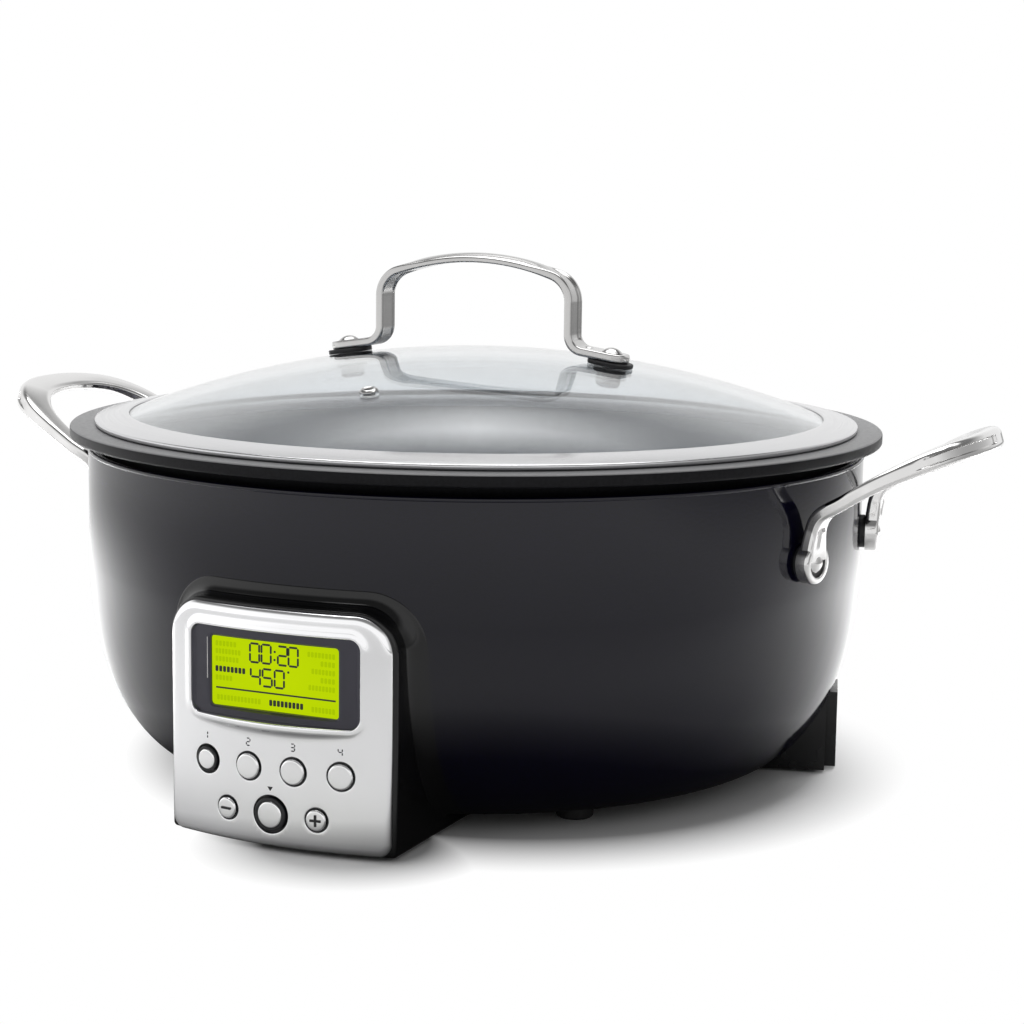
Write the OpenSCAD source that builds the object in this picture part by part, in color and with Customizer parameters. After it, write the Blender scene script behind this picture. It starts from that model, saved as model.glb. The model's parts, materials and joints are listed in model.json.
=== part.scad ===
// Round countertop electric skillet: bowl-shaped base with a heater, a lift-out pan,
// a glass lid and a control panel. Millimetres, +Z up, origin on the vessel's axis at the floor.

/* [Base shell] */
// Outer radius of the shell's upright wall
shell_r = 157.8; // [140:0.1:180]
// Sheet thickness of the shell
shell_t = 1.2; // [0.8:0.1:2]
// Height of the shell's top edge
shell_top = 129.3; // [115:0.1:150]
// Height of the upright wall above the bowl
wall_h = 45.3; // [35:0.1:55]
// Distance of the underside's edge in from the upright wall
bowl_in = 38.3; // [30:0.1:44]
// Height of the shell's underside above the floor
floor_z = 5.2; // [4:0.1:7]
// Width of the shell's floor lip
floor_lip = 19.5; // [16:0.5:40]

/* [Liner] */
// Air gap between the shell and the liner
liner_air = 2.4; // [1.9:0.1:4]
// Sheet thickness of the liner
liner_t = 0.8; // [0.5:0.1:1.5]
// Overhang of the liner's lip past the shell
lip_out = 0.5; // [0.2:0.1:2]

/* [Pan] */
// Overhang of the flange past the shell's wall
flange_out = 7.2; // [2:0.1:20]
// Thickness of the flange
flange_t = 4.5; // [2:0.1:8]
// Gap between the flange and the liner's lip
flange_gap = 2.2; // [1:0.1:6]
// Gap between the pan's wall and the liner
pan_air = 1.8; // [1:0.1:4]
// Thickness of the pan's wall
pan_t = 2.5; // [1.5:0.1:4]
// Height of the pan's underside
pan_z = 38; // [34:0.5:50]
// Distance of the pan's flat bottom in from its wall
pan_in = 39.6; // [36:0.1:48]

/* [Heater] */
// Distance of the heater plate's edge in from the pan's flat bottom
heater_in = 6; // [4:0.5:12]
// Thickness of the heater plate
heater_t = 8; // [6.5:0.5:12]
// Distance of the element's loop in from the heater plate's edge
element_in = 30; // [24:0.5:44]
// Radius of the element's tube
element_tube_r = 4; // [3:0.1:5]
// Gap in the element's loop, in degrees
element_gap = 30; // [20:1:60]
// Distance of the support posts in from the heater plate's edge
post_in = 13; // [10:0.5:18]
// Radius of a support post
post_r = 4.5; // [4:0.1:6]
// Gap between the reflector's underside and the heater plate
reflector_gap = 6.2; // [5.6:0.1:7.5]

/* [Base cover and feet] */
// Thickness of the bottom cover
cover_t = 2; // [1:0.1:3]
// Distance of the feet in from the underside's edge
foot_in = 7.5; // [7.3:0.1:10]
// Radius of a foot
foot_r = 7.3; // [6:0.1:7.5]
// Radius of a foot screw
foot_screw_r = 2; // [1.5:0.1:2.5]

/* [Side handles] */
// Depth of the handle rivets below the shell's top edge
rivet_drop = 32.3; // [22:0.1:36]
// Half of the distance between a handle's two rivets
rivet_half_gap = 41.1; // [32:0.1:50]
// Radius of a rivet
rivet_r = 3; // [2:0.1:3.5]
// Reach of the grip's outer edge past the shell's wall
grip_out = 57.2; // [45:0.1:80]
// Rise of the grip's outer edge above the shell's top edge
grip_rise = 12.6; // [4:0.1:20]
// How far the loop stands out sideways past its rivets
loop_out = 2.6; // [0:0.1:6]
// Width of the grip
grip_w = 14; // [9:0.5:18]
// Thickness of the grip
grip_t = 8.2; // [5:0.1:10]
// Depth of the channel along each side of the grip
channel_in = 1.2; // [0:0.1:2]
// Thickness of a handle's legs and pads
handle_t = 5.2; // [3.5:0.1:7]
// Radius of a rivet pad
pad_r = 8; // [7:0.1:10]
// Thickness of the spacer behind a rivet pad
spacer_t = 1.7; // [1:0.1:4]

/* [Control panel] */
// Distance that the fascia's front stands out from the shell's wall
panel_out = 11.7; // [11.2:0.1:16]
// Thickness of the fascia
fascia_t = 2.2; // [1.5:0.1:3]
// Half of the fascia's width
fascia_half_w = 45; // [42:0.5:52]
// Height of the fascia's top edge
fascia_top = 85.5; // [83:0.5:92]
// Radius of the fascia's top corners
fascia_corner = 13; // [5:0.5:16]
// Height of the housing's underside above the floor
housing_z = 1.2; // [0.6:0.1:3]
// Wall thickness of the housing
housing_t = 2.4; // [1.8:0.1:3]
// Half of the window's width
window_half_w = 34; // [30:0.5:35]
// Height of the window's lower edge
window_z0 = 47; // [45:0.5:49]
// Height of the window's upper edge
window_z1 = 79; // [76:0.5:80]
// Half of the display's visible width
lcd_half_w = 25.8; // [20:0.1:28]
// Height of the display's visible lower edge
lcd_z0 = 50; // [49:0.1:56]
// Height of the display's visible upper edge
lcd_z1 = 75.3; // [70:0.1:76]

/* [Buttons] */
// Spacing of the upper buttons along the panel
button_pitch = 18; // [15:0.5:18.5]
// Height of the upper row
upper_z = 30; // [28:0.5:32]
// Height of the lower row
lower_z = 13.5; // [12.5:0.5:14]
// Radius of an upper button
upper_r = 4.6; // [3.5:0.1:5]
// Radius of the start button
start_r = 6.2; // [5:0.1:6.5]
// Radius of the plus and minus buttons
sign_r = 3.8; // [3:0.1:4.2]
// Ring gap round a button
button_gap = 0.7; // [0.3:0.05:0.9]
// Travel of a button
button_travel = 0.8; // [0.4:0.1:1]

/* [Power inlet] */
// Direction of the inlet block, degrees behind the right-hand side
inlet_angle = 16; // [5:1:30]
// Distance of the inlet's outer face in from the shell's wall
inlet_in = 7; // [2:0.1:10]
// Width of the inlet box
inlet_w = 24; // [22:0.5:28]
// Height of the inlet block's top
inlet_top = 32; // [28:0.5:36]
// Thickness of the ribs beside the inlet box
rib_t = 5; // [3:0.1:6]
// Slot between the inlet box and a rib
rib_gap = 2.2; // [1:0.1:4]

/* [Lid] */
// Distance of the ring's inner edge in from the pan's mouth
ring_in = 7.8; // [7:0.1:14]
// Overhang of the ring past the pan's mouth
ring_out = 6.1; // [4:0.1:11]
// Height of the dome above the ring's inner edge
dome_rise = 26; // [20:0.5:35]
// Thickness of the glass
glass_t = 4; // [3:0.1:5]
// Gap between the lid's rim channel and the pan's mouth
lid_fit = 0.8; // [0.4:0.1:2]
// Distance of the steam vent from the axis
vent_dist = 89.5; // [60:0.5:110]

/* [Lid handle] */
// Top of the strap above the dome's crown
strap_rise = 38.6; // [30:0.1:50]
// Distance of each handle screw from the axis
strap_screw_x = 58.8; // [55:0.1:66]
// Distance of each leg's outer face in from its screw
strap_leg_in = 14.8; // [13:0.1:20]
// Width of the strap
strap_w = 12; // [10:0.5:18]
// Thickness of the strap
strap_t = 3.2; // [2:0.1:5]
// Radius of the strap's top arch
strap_arch_r = 106; // [80:1:150]
// Outer radius of the strap's top corners
strap_corner_r = 13; // [8:0.5:18]
// Thickness of the rubber pad under a foot
strap_pad_t = 2; // [1:0.1:4]

/* [Hidden] */
$fn = 96;
// Gap left between pieces that are pressed or screwed together
fit = 0.05;
// Clearance of a screw or rivet in its hole
bolt_play = 0.05;
// Points along each quarter of a bowl's profile
bowl_steps = 18;

bowl_z = shell_top - wall_h;
floor_r = shell_r - bowl_in;
floor_hole_r = floor_r - floor_lip;
liner_r = shell_r - shell_t - liner_air;
pan_r = liner_r - liner_t - pan_air;
lip_z = shell_top + liner_t;
flange_z = lip_z + flange_gap;
rim_z = flange_z + flange_t;
mouth_r = pan_r - pan_t;
flange_r = shell_r + flange_out;
pan_flat_r = pan_r - pan_in;
pan_floor_t = pan_t + 0.5;
flange_edge = 0.6;

cover_z = floor_z + shell_t;
cover_top = cover_z + cover_t;
cover_r = floor_r - 1;
foot_ring_r = floor_r - foot_in;
foot_screw_head_r = foot_screw_r + 1.4;
foot_screw_head_t = 1.6;
foot_boss_h = 5;
heater_r = pan_flat_r - heater_in;
heater_z = pan_z - heater_t;
element_r = heater_r - element_in;
element_lead_r = 1.5;
post_ring_r = heater_r - post_in;
post_stud_r = post_r - 1.5;
post_stud_h = 3;
reflector_z = heater_z - reflector_gap;
reflector_t = 0.6;
reflector_hole_r = 20;
groove_play = 0.3;
sensor_r = 9;
sensor_stem_r = 5;
sensor_t = 2;
cutout_size = [26, 16, 4.5];
cutout_x = 34;
liner_floor_z = heater_z - 4;
liner_floor_r = heater_r + 8;
liner_hole_r = heater_r + 3;

pad_back_r = shell_r + spacer_t;
pad_mid_r = pad_back_r + handle_t / 2;
pad_front_r = pad_back_r + handle_t;
rivet_head_r = rivet_r + 0.9;
rivet_recess_r = rivet_head_r + 1.6;
rivet_recess = 1;
rivet_tail_t = 1.2;
rivet_dome = 1.9;
rivet_z = shell_top - rivet_drop;
rivet_angle = asin(rivet_half_gap / pad_mid_r);
grip_reach = shell_r + grip_out;
grip_z = shell_top + grip_rise;
loop_half_w = rivet_half_gap + loop_out;
grip_slope = 0.245;
grip_curve = 0.0047;
loop_start = pad_mid_r + 7.6;
loop_end = grip_reach - grip_w / 2;
loop_power = 2.25;
leg_half_w = 4.6;
leg_rings = 9;
loop_rings = 24;
// A quarter of the handle's section: shares of its half width and half thickness, and of the channel's depth
section_quarter = [[1, 0.44, 1], [0.98, 0.62, 0], [0.88, 0.88, 0], [0.58, 1, 0]];
section_crown = 1.05;

ring_in_r = mouth_r - ring_in;
ring_out_r = mouth_r + ring_out;
glass_edge_z = rim_z + 3.8;
dome_r = (pow(ring_in_r, 2) + pow(dome_rise, 2)) / (2 * dome_rise);
dome_c = glass_edge_z + dome_rise - dome_r;
ring_t = 0.7;
channel_r = mouth_r - lid_fit;
glass_r = channel_r - ring_t - fit;
crown_z = dome_c + dome_r;
vent_angle = -92;
vent_r = 2.4;
vent_lip = 1.1;
vent_lip_t = 0.9;

foot_tilt = asin(strap_screw_x / dome_r);
strap_leg_x = strap_screw_x - strap_leg_in;
strap_top = crown_z + strap_rise;
strap_bend_r = 5;
// Overlap, in degrees, of the arcs that make up the strap
sector_lap = 0.2;
strap_foot_past = 8.8;
strap_screw_r = 2.4;
strap_screw_head_r = 4.2;
strap_pad_l = 19.6;
strap_pad_in = 10;
washer_r = 6.5;
washer_t = 1.2;
nut_r = 5;
nut_h = 5;

fascia_r = shell_r + panel_out;
fascia_back = fascia_r - fascia_t;
housing_front = fascia_back - fit;
housing_half_w = fascia_half_w + 0.8;
housing_top = fascia_top + 2;
housing_corner = fascia_corner + 2;
skirt_step = 1.6;
skirt_rise = 6.5;
skirt_front = fascia_back - 5.5;
housing_back = floor_r - 23.5;
window_corner = 4.5;
bezel_sink = 0.6;
lcd_plane = sqrt(pow(fascia_r - bezel_sink, 2) - pow(lcd_half_w, 2)) - 1.2;
lcd_t = 3.2;
lcd_margin = 2.6;
display_plane = lcd_plane - lcd_t;
board_t = 1.6;
key_plane = display_plane - 5.2;
board_half_w = min(sqrt(pow(fascia_back, 2) - pow(display_plane, 2)) - 0.4,
    housing_half_w - housing_t - 0.6);
board_screw_r = 1.1;
board_boss_r = 2.6;
board_screw_x = board_half_w - board_boss_r;
switch_h = 3.4;
button_flange = 1.2;
button_flange_t = 1;
button_crown = 0.7;
button_stem_r = 1.6;

display_board_z = [window_z0 - 2.5, window_z1 + 1.5];
key_board_z = [housing_z + housing_t + 1, upper_z + 10];
display_screws = [
    for (s = [-1, 1]) for (e = [4.2, -4.2]) [s * board_screw_x, display_board_z[e > 0 ? 0 : 1] + e]
];
key_screws = [
    for (s = [-1, 1]) for (e = [3.6, -3.6]) [s * board_screw_x, key_board_z[e > 0 ? 0 : 1] + e]
];

housing_screw_z = housing_top - 12;
housing_screw_x = housing_half_w - 9;
housing_screw_r = 1.5;
housing_boss_r = 3.4;
housing_boss_end = display_plane - board_t - 2.6;
housing_screw_head_r = 2.8;
housing_screw_head_t = 1.1;
housing_screw_angle = asin(housing_screw_x / shell_r);

loom_r = 2.5;
grommet_z = 24;
grommet_r = 5;
board_w = 60;
board_d = 50;
board_x = 50;
board_y = 24;
board_inset = 5;
standoff_h = 3.6;
standoff_r = 3;
power_z = cover_top + standoff_h;
relay_size = [19, 15, 7.5];
relay_in = 4;
terminal_size = [10, 24, 7.5];
terminal_in = 2;

inlet_reach = shell_r - inlet_in;
inlet_mid_z = 16;
inlet_back_t = 9;
rib_in = 4.4;
insert_w = inlet_w - 4;
insert_h = 16;
insert_l = 24;
socket_w = insert_w - 4;
socket_h = insert_h - 4;
socket_d = 12;
pin_l = 5.5;

// Button name, place along the panel, height and radius
BUTTONS = [
    ["button_mode", -1.5 * button_pitch, upper_z, upper_r],
    ["button_menu", -0.5 * button_pitch, upper_z, upper_r],
    ["button_time", 0.5 * button_pitch, upper_z, upper_r],
    ["button_temp", 1.5 * button_pitch, upper_z, upper_r],
    ["button_minus", -button_pitch, lower_z, sign_r],
    ["button_start", 0, lower_z, start_r],
    ["button_plus", button_pitch, lower_z, sign_r]
];

// Radius of a bowl at height z: upright above turn_z, a quarter ellipse below it
function bowl_r(z, wall_r, turn_z, flat_r, flat_z) =
    let (drop = (turn_z - z) / (turn_z - flat_z))
    z >= turn_z ? wall_r : flat_r + (wall_r - flat_r) * sqrt(max(0, 1 - drop * drop));

// Outline points of a bowl's quarter ellipse, from its flat bottom up to its wall
function bowl_curve(wall_r, turn_z, flat_r, flat_z) = [
    for (i = [0 : bowl_steps])
        let (a = 90 * i / bowl_steps)
        [flat_r + (wall_r - flat_r) * sin(a), turn_z - (turn_z - flat_z) * cos(a)]
];

function reversed(list) = [for (i = [len(list) - 1 : -1 : 0]) list[i]];
function unit(v) = v / norm(v);
function mix(a, b, t) = a + (b - a) * t;
function bezier(p, t) = mix(
    mix(mix(p[0], p[1], t), mix(p[1], p[2], t), t),
    mix(mix(p[1], p[2], t), mix(p[2], p[3], t), t), t);

// Angle round the panel at which a piece x from its middle line sits
function panel_angle(x) = asin(x / fascia_r);

// Sheet bowl between an outer curve and the same curve set in by its thickness
module bowl(wall_r, turn_z, flat_r, flat_z, top_z, hole_r, t) {
    outer = bowl_curve(wall_r, turn_z, flat_r, flat_z);
    inner = bowl_curve(wall_r - t, turn_z, flat_r, flat_z + t);
    rotate_extrude()
        polygon(concat(
            [[hole_r, flat_z]], outer, [[wall_r, top_z], [wall_r - t, top_z]],
            reversed(inner), [[hole_r, flat_z + t]]));
}

// Solid bowl that fills the shell's outside, for cutting what seats against it
module bowl_solid(grow) {
    rotate_extrude()
        polygon(concat(
            [[0, floor_z - grow]], bowl_curve(shell_r + grow, bowl_z, floor_r, floor_z - grow),
            [[shell_r + grow, shell_top + 40], [0, shell_top + 40]]));
}

// Cylinder along the outward direction at an angle round the axis
module radial_cylinder(angle, z, from_r, to_r, r) {
    rotate([0, 0, angle])
        translate([from_r, 0, z])
            rotate([0, 90, 0])
                cylinder(r = r, h = to_r - from_r, $fn = 48);
}

// Upright outline with round top corners, drawn in X and Z and spread along Y
module panel_slab(half_w, z0, z1, corner, y0, y1) {
    translate([0, y1, 0])
        rotate([90, 0, 0])
            linear_extrude(y1 - y0)
                union() {
                    translate([-half_w, z0]) square([2 * half_w, z1 - corner - z0]);
                    translate([corner - half_w, z0]) square([2 * (half_w - corner), z1 - z0]);
                    for (s = [-1, 1])
                        translate([s * (half_w - corner), z1 - corner]) circle(r = corner);
                }
}

// Rectangle with four round corners, drawn in X and Z and spread along Y
module window_slab(half_w, z0, z1, corner, y0, y1) {
    translate([0, y1, 0])
        rotate([90, 0, 0])
            linear_extrude(y1 - y0)
                union() {
                    translate([-half_w, z0 + corner]) square([2 * half_w, z1 - z0 - 2 * corner]);
                    translate([corner - half_w, z0]) square([2 * (half_w - corner), z1 - z0]);
                    for (s = [-1, 1], z = [z0 + corner, z1 - corner])
                        translate([s * (half_w - corner), z]) circle(r = corner, $fn = 48);
                }
}

// Round tube swept along points, with flat ends
module tube_along(points, r, sides = 8) {
    last = len(points) - 1;
    rings = [
        for (i = [0 : last])
            let (
                t = unit(points[min(i + 1, last)] - points[max(i - 1, 0)]),
                side = unit(cross(t, abs(t[2]) > 0.9 ? [1, 0, 0] : [0, 0, 1])),
                up = cross(side, t)
            )
            for (k = [0 : sides - 1])
                points[i] + r * (side * cos(360 * k / sides) + up * sin(360 * k / sides))
    ];
    swept(rings, len(points), sides);
}

// Closed solid over rings of points that follow one another
module swept(points, rings, sides) {
    walls = [
        for (i = [0 : rings - 2]) for (k = [0 : sides - 1])
            let (a = i * sides + k, b = i * sides + (k + 1) % sides)
            each [[a, b, a + sides], [b, b + sides, a + sides]]
    ];
    first = [for (k = [1 : sides - 2]) [0, k + 1, k]];
    base = (rings - 1) * sides;
    end = [for (k = [1 : sides - 2]) [base, base + k, base + k + 1]];
    polyhedron(points = points, faces = concat(first, walls, end));
}

// Base shell, liner, bottom cover and feet

module rivet_places() {
    for (side = [0, 180], s = [-1, 1])
        rotate([0, 0, side + s * rivet_angle]) children();
}

module foot_places() {
    for (a = [45 : 90 : 315])
        rotate([0, 0, a]) translate([foot_ring_r, 0, 0]) children();
}

module shell() color("#18181b") difference() {
    bowl(shell_r, bowl_z, floor_r, floor_z, shell_top, floor_hole_r, shell_t);
    rivet_places()
        radial_cylinder(0, rivet_z, shell_r - 5, shell_r + 5, rivet_r + bolt_play);
    foot_places()
        cylinder(r = foot_screw_r + bolt_play, h = cover_top, $fn = 48);
    for (s = [-1, 1])
        radial_cylinder(-90 + s * housing_screw_angle, housing_screw_z,
            floor_r, shell_r + 5, housing_screw_r + bolt_play);
    radial_cylinder(-90, grommet_z, floor_r, shell_r, grommet_r);
    rotate([0, 0, inlet_angle])
        translate([floor_r, -insert_w / 2 - fit, inlet_mid_z - insert_h / 2 - fit])
            cube([shell_r - floor_r, insert_w + 2 * fit, insert_h + 2 * fit]);
}

module liner() color("#b9bcc0") union() {
    bowl(liner_r, bowl_z, liner_floor_r, liner_floor_z, lip_z, liner_hole_r, liner_t);
    rotate_extrude()
        translate([liner_r - liner_t, shell_top])
            square([shell_r + lip_out - liner_r + liner_t, liner_t]);
}

module bottom_cover() color("#202022") difference() {
    union() {
        translate([0, 0, cover_z]) cylinder(r = cover_r, h = cover_t);
        foot_places()
            translate([0, 0, cover_z]) cylinder(r = foot_screw_r + 2.4, h = cover_t + foot_boss_h, $fn = 48);
        for (sx = [-1, 1], sy = [-1, 1])
            translate([board_x + sx * (board_w / 2 - board_inset),
                    board_y + sy * (board_d / 2 - board_inset), cover_z])
                cylinder(r = standoff_r, h = cover_t + standoff_h, $fn = 48);
    }
    foot_places()
        translate([0, 0, cover_z - 1])
            cylinder(r = foot_screw_r + bolt_play, h = cover_t + foot_boss_h, $fn = 48);
}

module foot(angle) color("#1b1b1d")
    rotate([0, 0, angle]) translate([foot_ring_r, 0, 0])
        difference() {
            cylinder(r = foot_r, h = floor_z);
            translate([0, 0, -1]) cylinder(r = foot_screw_r + bolt_play, h = floor_z + 2, $fn = 48);
            translate([0, 0, -1]) cylinder(r = foot_screw_head_r + 0.4, h = 1 + floor_z / 2, $fn = 48);
        }

module foot_screws() color("#8d9094")
    foot_places()
        translate([0, 0, floor_z / 2 - foot_screw_head_t]) union() {
            cylinder(r = foot_screw_head_r, h = foot_screw_head_t, $fn = 48);
            cylinder(r = foot_screw_r,
                h = cover_top + foot_boss_h - 1.6 - floor_z / 2 + foot_screw_head_t, $fn = 48);
        }

// Heater, reflector, sensors, power board and wiring

module post_places() {
    for (a = [90, 210, 330])
        rotate([0, 0, a]) translate([post_ring_r, 0, 0]) children();
}

module heater_plate() color("#9a9da1") difference() {
    translate([0, 0, heater_z]) cylinder(r = heater_r, h = heater_t);
    rotate_extrude()
        translate([element_r, heater_z]) circle(r = element_tube_r + groove_play, $fn = 48);
    post_places()
        translate([0, 0, heater_z - 1])
            cylinder(r = post_stud_r + bolt_play, h = post_stud_h + 2, $fn = 48);
}

module heater_element() color("#6f6a66") union() {
    rotate([0, 0, 180 + element_gap / 2])
        rotate_extrude(angle = 360 - element_gap)
            translate([element_r, heater_z]) circle(r = element_tube_r, $fn = 48);
    for (s = [-1, 1])
        rotate([0, 0, 180 + s * element_gap / 2])
            translate([element_r, 0, 0]) {
                translate([0, 0, reflector_z - 3])
                    cylinder(r = element_tube_r, h = heater_z - reflector_z + 3, $fn = 48);
                translate([0, 0, cover_top + 2])
                    cylinder(r = element_lead_r, h = reflector_z - cover_top, $fn = 32);
            }
}

module heater_posts() color("#8d9094")
    post_places() union() {
        translate([0, 0, cover_top]) cylinder(r = post_r, h = reflector_z - cover_top, $fn = 48);
        translate([0, 0, cover_top]) cylinder(r = post_r - 1, h = heater_z - cover_top, $fn = 48);
        translate([0, 0, cover_top])
            cylinder(r = post_stud_r, h = heater_z + post_stud_h - cover_top, $fn = 48);
    }

module reflector() color("#c4c6c9") difference() {
    translate([0, 0, reflector_z]) cylinder(r = heater_r - 3, h = reflector_t);
    translate([0, 0, reflector_z - 1]) cylinder(r = reflector_hole_r, h = 3);
    post_places()
        translate([0, 0, reflector_z - 1]) cylinder(r = post_r - 1 + bolt_play, h = 3, $fn = 48);
    for (s = [-1, 1])
        rotate([0, 0, 180 + s * element_gap / 2])
            translate([element_r, 0, reflector_z - 1])
                cylinder(r = element_tube_r + 0.5, h = 3, $fn = 48);
}

module temp_sensor() color("#b08d57") union() {
    translate([0, 0, heater_z - sensor_t]) cylinder(r = sensor_r, h = sensor_t);
    translate([0, 0, reflector_z]) cylinder(r = sensor_stem_r, h = heater_z - reflector_z);
}

module thermal_cutout() color("#c9c2b4")
    translate([cutout_x, -cutout_size[1] / 2, heater_z - cutout_size[2]]) cube(cutout_size);

module power_board() color("#2f5d3a")
    translate([board_x - board_w / 2, board_y - board_d / 2, power_z])
        cube([board_w, board_d, board_t]);

module relay() color("#26282c")
    translate([board_x - board_w / 2 + relay_in, board_y - 6, power_z + board_t])
        cube(relay_size);

module terminal_block() color("#3c6e47")
    translate([board_x + board_w / 2 - terminal_in - terminal_size[0], board_y - 2, power_z + board_t])
        cube(terminal_size);

module mains_loom() color("#2a2a2c")
    rotate([0, 0, inlet_angle])
        tube_along([
            [inlet_reach - insert_l - fit, 0, inlet_mid_z],
            [inlet_reach - insert_l - 8, 0, inlet_mid_z],
            [inlet_reach - insert_l - 20, 0, power_z + board_t + 4],
            [mains_end_x() + 6, 0, power_z + board_t + 4],
            [mains_end_x(), 0, power_z + board_t + 4]
        ], loom_r);

// Place where the mains loom, which runs straight in, meets the terminal block's outer face
function mains_end_x() =
    (board_x + board_w / 2 - terminal_in + loom_r * sin(inlet_angle) + 0.3) / cos(inlet_angle);

module heater_loom() color("#8a2f2a")
    tube_along([
        [board_x - board_w / 2 + relay_in - fit, board_y + 1, power_z + board_t + 3.5],
        [board_x - board_w / 2 - 6, board_y + 1, power_z + board_t + 3.5],
        [board_x - board_w / 2 - 18, board_y - 1, cover_top + loom_r + 0.5],
        [-20, 14, cover_top + loom_r + fit],
        [-50, 6, cover_top + loom_r + fit],
        [2 * loom_r + 1.5 - element_r, 0, cover_top + loom_r + fit]
    ], loom_r);

module control_loom() color("#2c4a78")
    tube_along([
        [0, -key_plane + board_t + fit, grommet_z],
        [0, -shell_r + 13, grommet_z],
        [0, -shell_r + 26, grommet_z - 1],
        [4, 11.5 - floor_r, cover_top + loom_r + 6],
        [12, 31.5 - floor_r, cover_top + loom_r + fit],
        [28, -50, cover_top + loom_r + fit],
        [board_x - 12, board_y - board_d / 2 - 6, cover_top + loom_r + fit],
        [board_x - 10, board_y - board_d / 2 + 6, cover_top + loom_r - 1]
    ], loom_r - 1);

module shell_grommet() color("#1d1d1f") difference() {
    wall = bowl_r(grommet_z, shell_r, bowl_z, floor_r, floor_z);
    union() {
        radial_cylinder(-90, grommet_z, wall - 8, wall + 6, grommet_r - 2 * fit);
        radial_cylinder(-90, grommet_z, wall + 4.2, wall + 6, grommet_r + 1.6);
    }
    radial_cylinder(-90, grommet_z, wall - 9, wall + 7, loom_r);
}

// Power inlet under the right-hand side of the bowl

module inlet_block() color("#131315") difference() {
    rotate([0, 0, inlet_angle]) {
        translate([floor_r, -inlet_w / 2, housing_z])
            cube([inlet_reach - floor_r, inlet_w, inlet_top - housing_z]);
        translate([floor_r, -inlet_w / 2 - rib_gap - rib_t, housing_z])
            cube([inlet_back_t, inlet_w + 2 * (rib_gap + rib_t), inlet_top - housing_z]);
        for (s = [-1, 1])
            translate([floor_r, s > 0 ? inlet_w / 2 + rib_gap : -inlet_w / 2 - rib_gap - rib_t, housing_z])
                cube([inlet_reach - rib_in - floor_r, rib_t, inlet_top - housing_z]);
    }
    bowl_solid(fit);
    rotate([0, 0, inlet_angle])
        translate([floor_r, -insert_w / 2 - fit, inlet_mid_z - insert_h / 2 - fit])
            cube([shell_r - floor_r, insert_w + 2 * fit, insert_h + 2 * fit]);
}

module inlet_insert() color("#1f1f22")
    rotate([0, 0, inlet_angle]) difference() {
        translate([inlet_reach - insert_l, -insert_w / 2, inlet_mid_z - insert_h / 2])
            cube([insert_l, insert_w, insert_h]);
        translate([inlet_reach - socket_d, -socket_w / 2, inlet_mid_z - socket_h / 2])
            cube([socket_d + 1, socket_w, socket_h]);
    }

module inlet_pins() color("#c8a24a")
    rotate([0, 0, inlet_angle])
        for (p = [[-4.5, -1.5], [0, 2.2], [4.5, -1.5]])
            translate([inlet_reach - socket_d, p[0] - 0.8, inlet_mid_z + p[1] - 1.2])
                cube([pin_l, 1.6, 2.4]);

// Control housing, fascia, display and boards

module panel_cylinder(r) {
    translate([0, 0, -1]) cylinder(r = r, h = shell_top, $fn = 180);
}

module housing() color("#121214") difference() {
    union() {
        intersection() {
            panel_slab(housing_half_w, housing_z, housing_top, housing_corner, -fascia_r - 5, -housing_back);
            panel_cylinder(housing_front);
        }
        intersection() {
            panel_slab(housing_half_w + skirt_step, housing_z, housing_top + skirt_rise,
                housing_corner + skirt_step, -fascia_r - 5, -housing_back);
            panel_cylinder(skirt_front);
        }
    }
    bowl_solid(fit);
    difference() {
        panel_slab(housing_half_w - housing_t, housing_z + housing_t, housing_top - housing_t,
            housing_corner - housing_t, -fascia_r - 6, -housing_back - 8);
        for (s = [-1, 1]) {
            radial_cylinder(-90 + s * housing_screw_angle, housing_screw_z,
                floor_r, housing_boss_end, housing_boss_r);
            translate([s * (housing_screw_x + housing_half_w) / 2 - 5,
                    -housing_boss_end, housing_screw_z - 1])
                cube([10, 30, 2]);
        }
    }
    for (s = [-1, 1])
        radial_cylinder(-90 + s * housing_screw_angle, housing_screw_z,
            floor_r, housing_boss_end + 1, housing_screw_r + bolt_play);
}

module housing_screws() color("#8d9094")
    for (s = [-1, 1]) {
        a = -90 + s * housing_screw_angle;
        wall = bowl_r(housing_screw_z - housing_screw_head_r, shell_r - shell_t, bowl_z, floor_r, cover_z);
        seat = wall - 2 * fit;
        under = seat - housing_screw_head_t;
        radial_cylinder(a, housing_screw_z, under, seat, housing_screw_head_r);
        radial_cylinder(a, housing_screw_z, under, housing_boss_end - 0.5, housing_screw_r);
    }

module fascia() color("#d9dbde") difference() {
    union() {
        intersection() {
            panel_slab(fascia_half_w, housing_z + 0.3, fascia_top, fascia_corner, -fascia_r - 5, -120);
            difference() {
                panel_cylinder(fascia_r);
                panel_cylinder(fascia_back);
            }
        }
        board_bosses(display_screws, display_plane);
        board_bosses(key_screws, key_plane);
    }
    window_slab(window_half_w, window_z0, window_z1, window_corner, -fascia_r - 6, -display_plane - 0.5);
    for (b = BUTTONS)
        radial_cylinder(-90 + panel_angle(b[1]), b[2], fascia_back - 2, fascia_r + 3, b[3] + button_gap);
    for (p = concat(display_screws, key_screws))
        translate([p[0], -key_plane + 1, p[1]])
            rotate([90, 0, 0])
                cylinder(r = board_screw_r, h = board_reach(p[0]) - key_plane + 0.7, $fn = 32);
}

// Distance from the axis plane to just inside the fascia's back at x from the panel's middle
function board_reach(x) = sqrt(pow(fascia_back, 2) - pow(abs(x) + board_boss_r, 2)) + fascia_t / 2;

// Bosses that run from the fascia's back to a board's front face
module board_bosses(places, plane) {
    for (p = places)
        translate([p[0], -plane, p[1]])
            rotate([90, 0, 0])
                cylinder(r = board_boss_r, h = board_reach(p[0]) - plane, $fn = 48);
}

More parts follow.
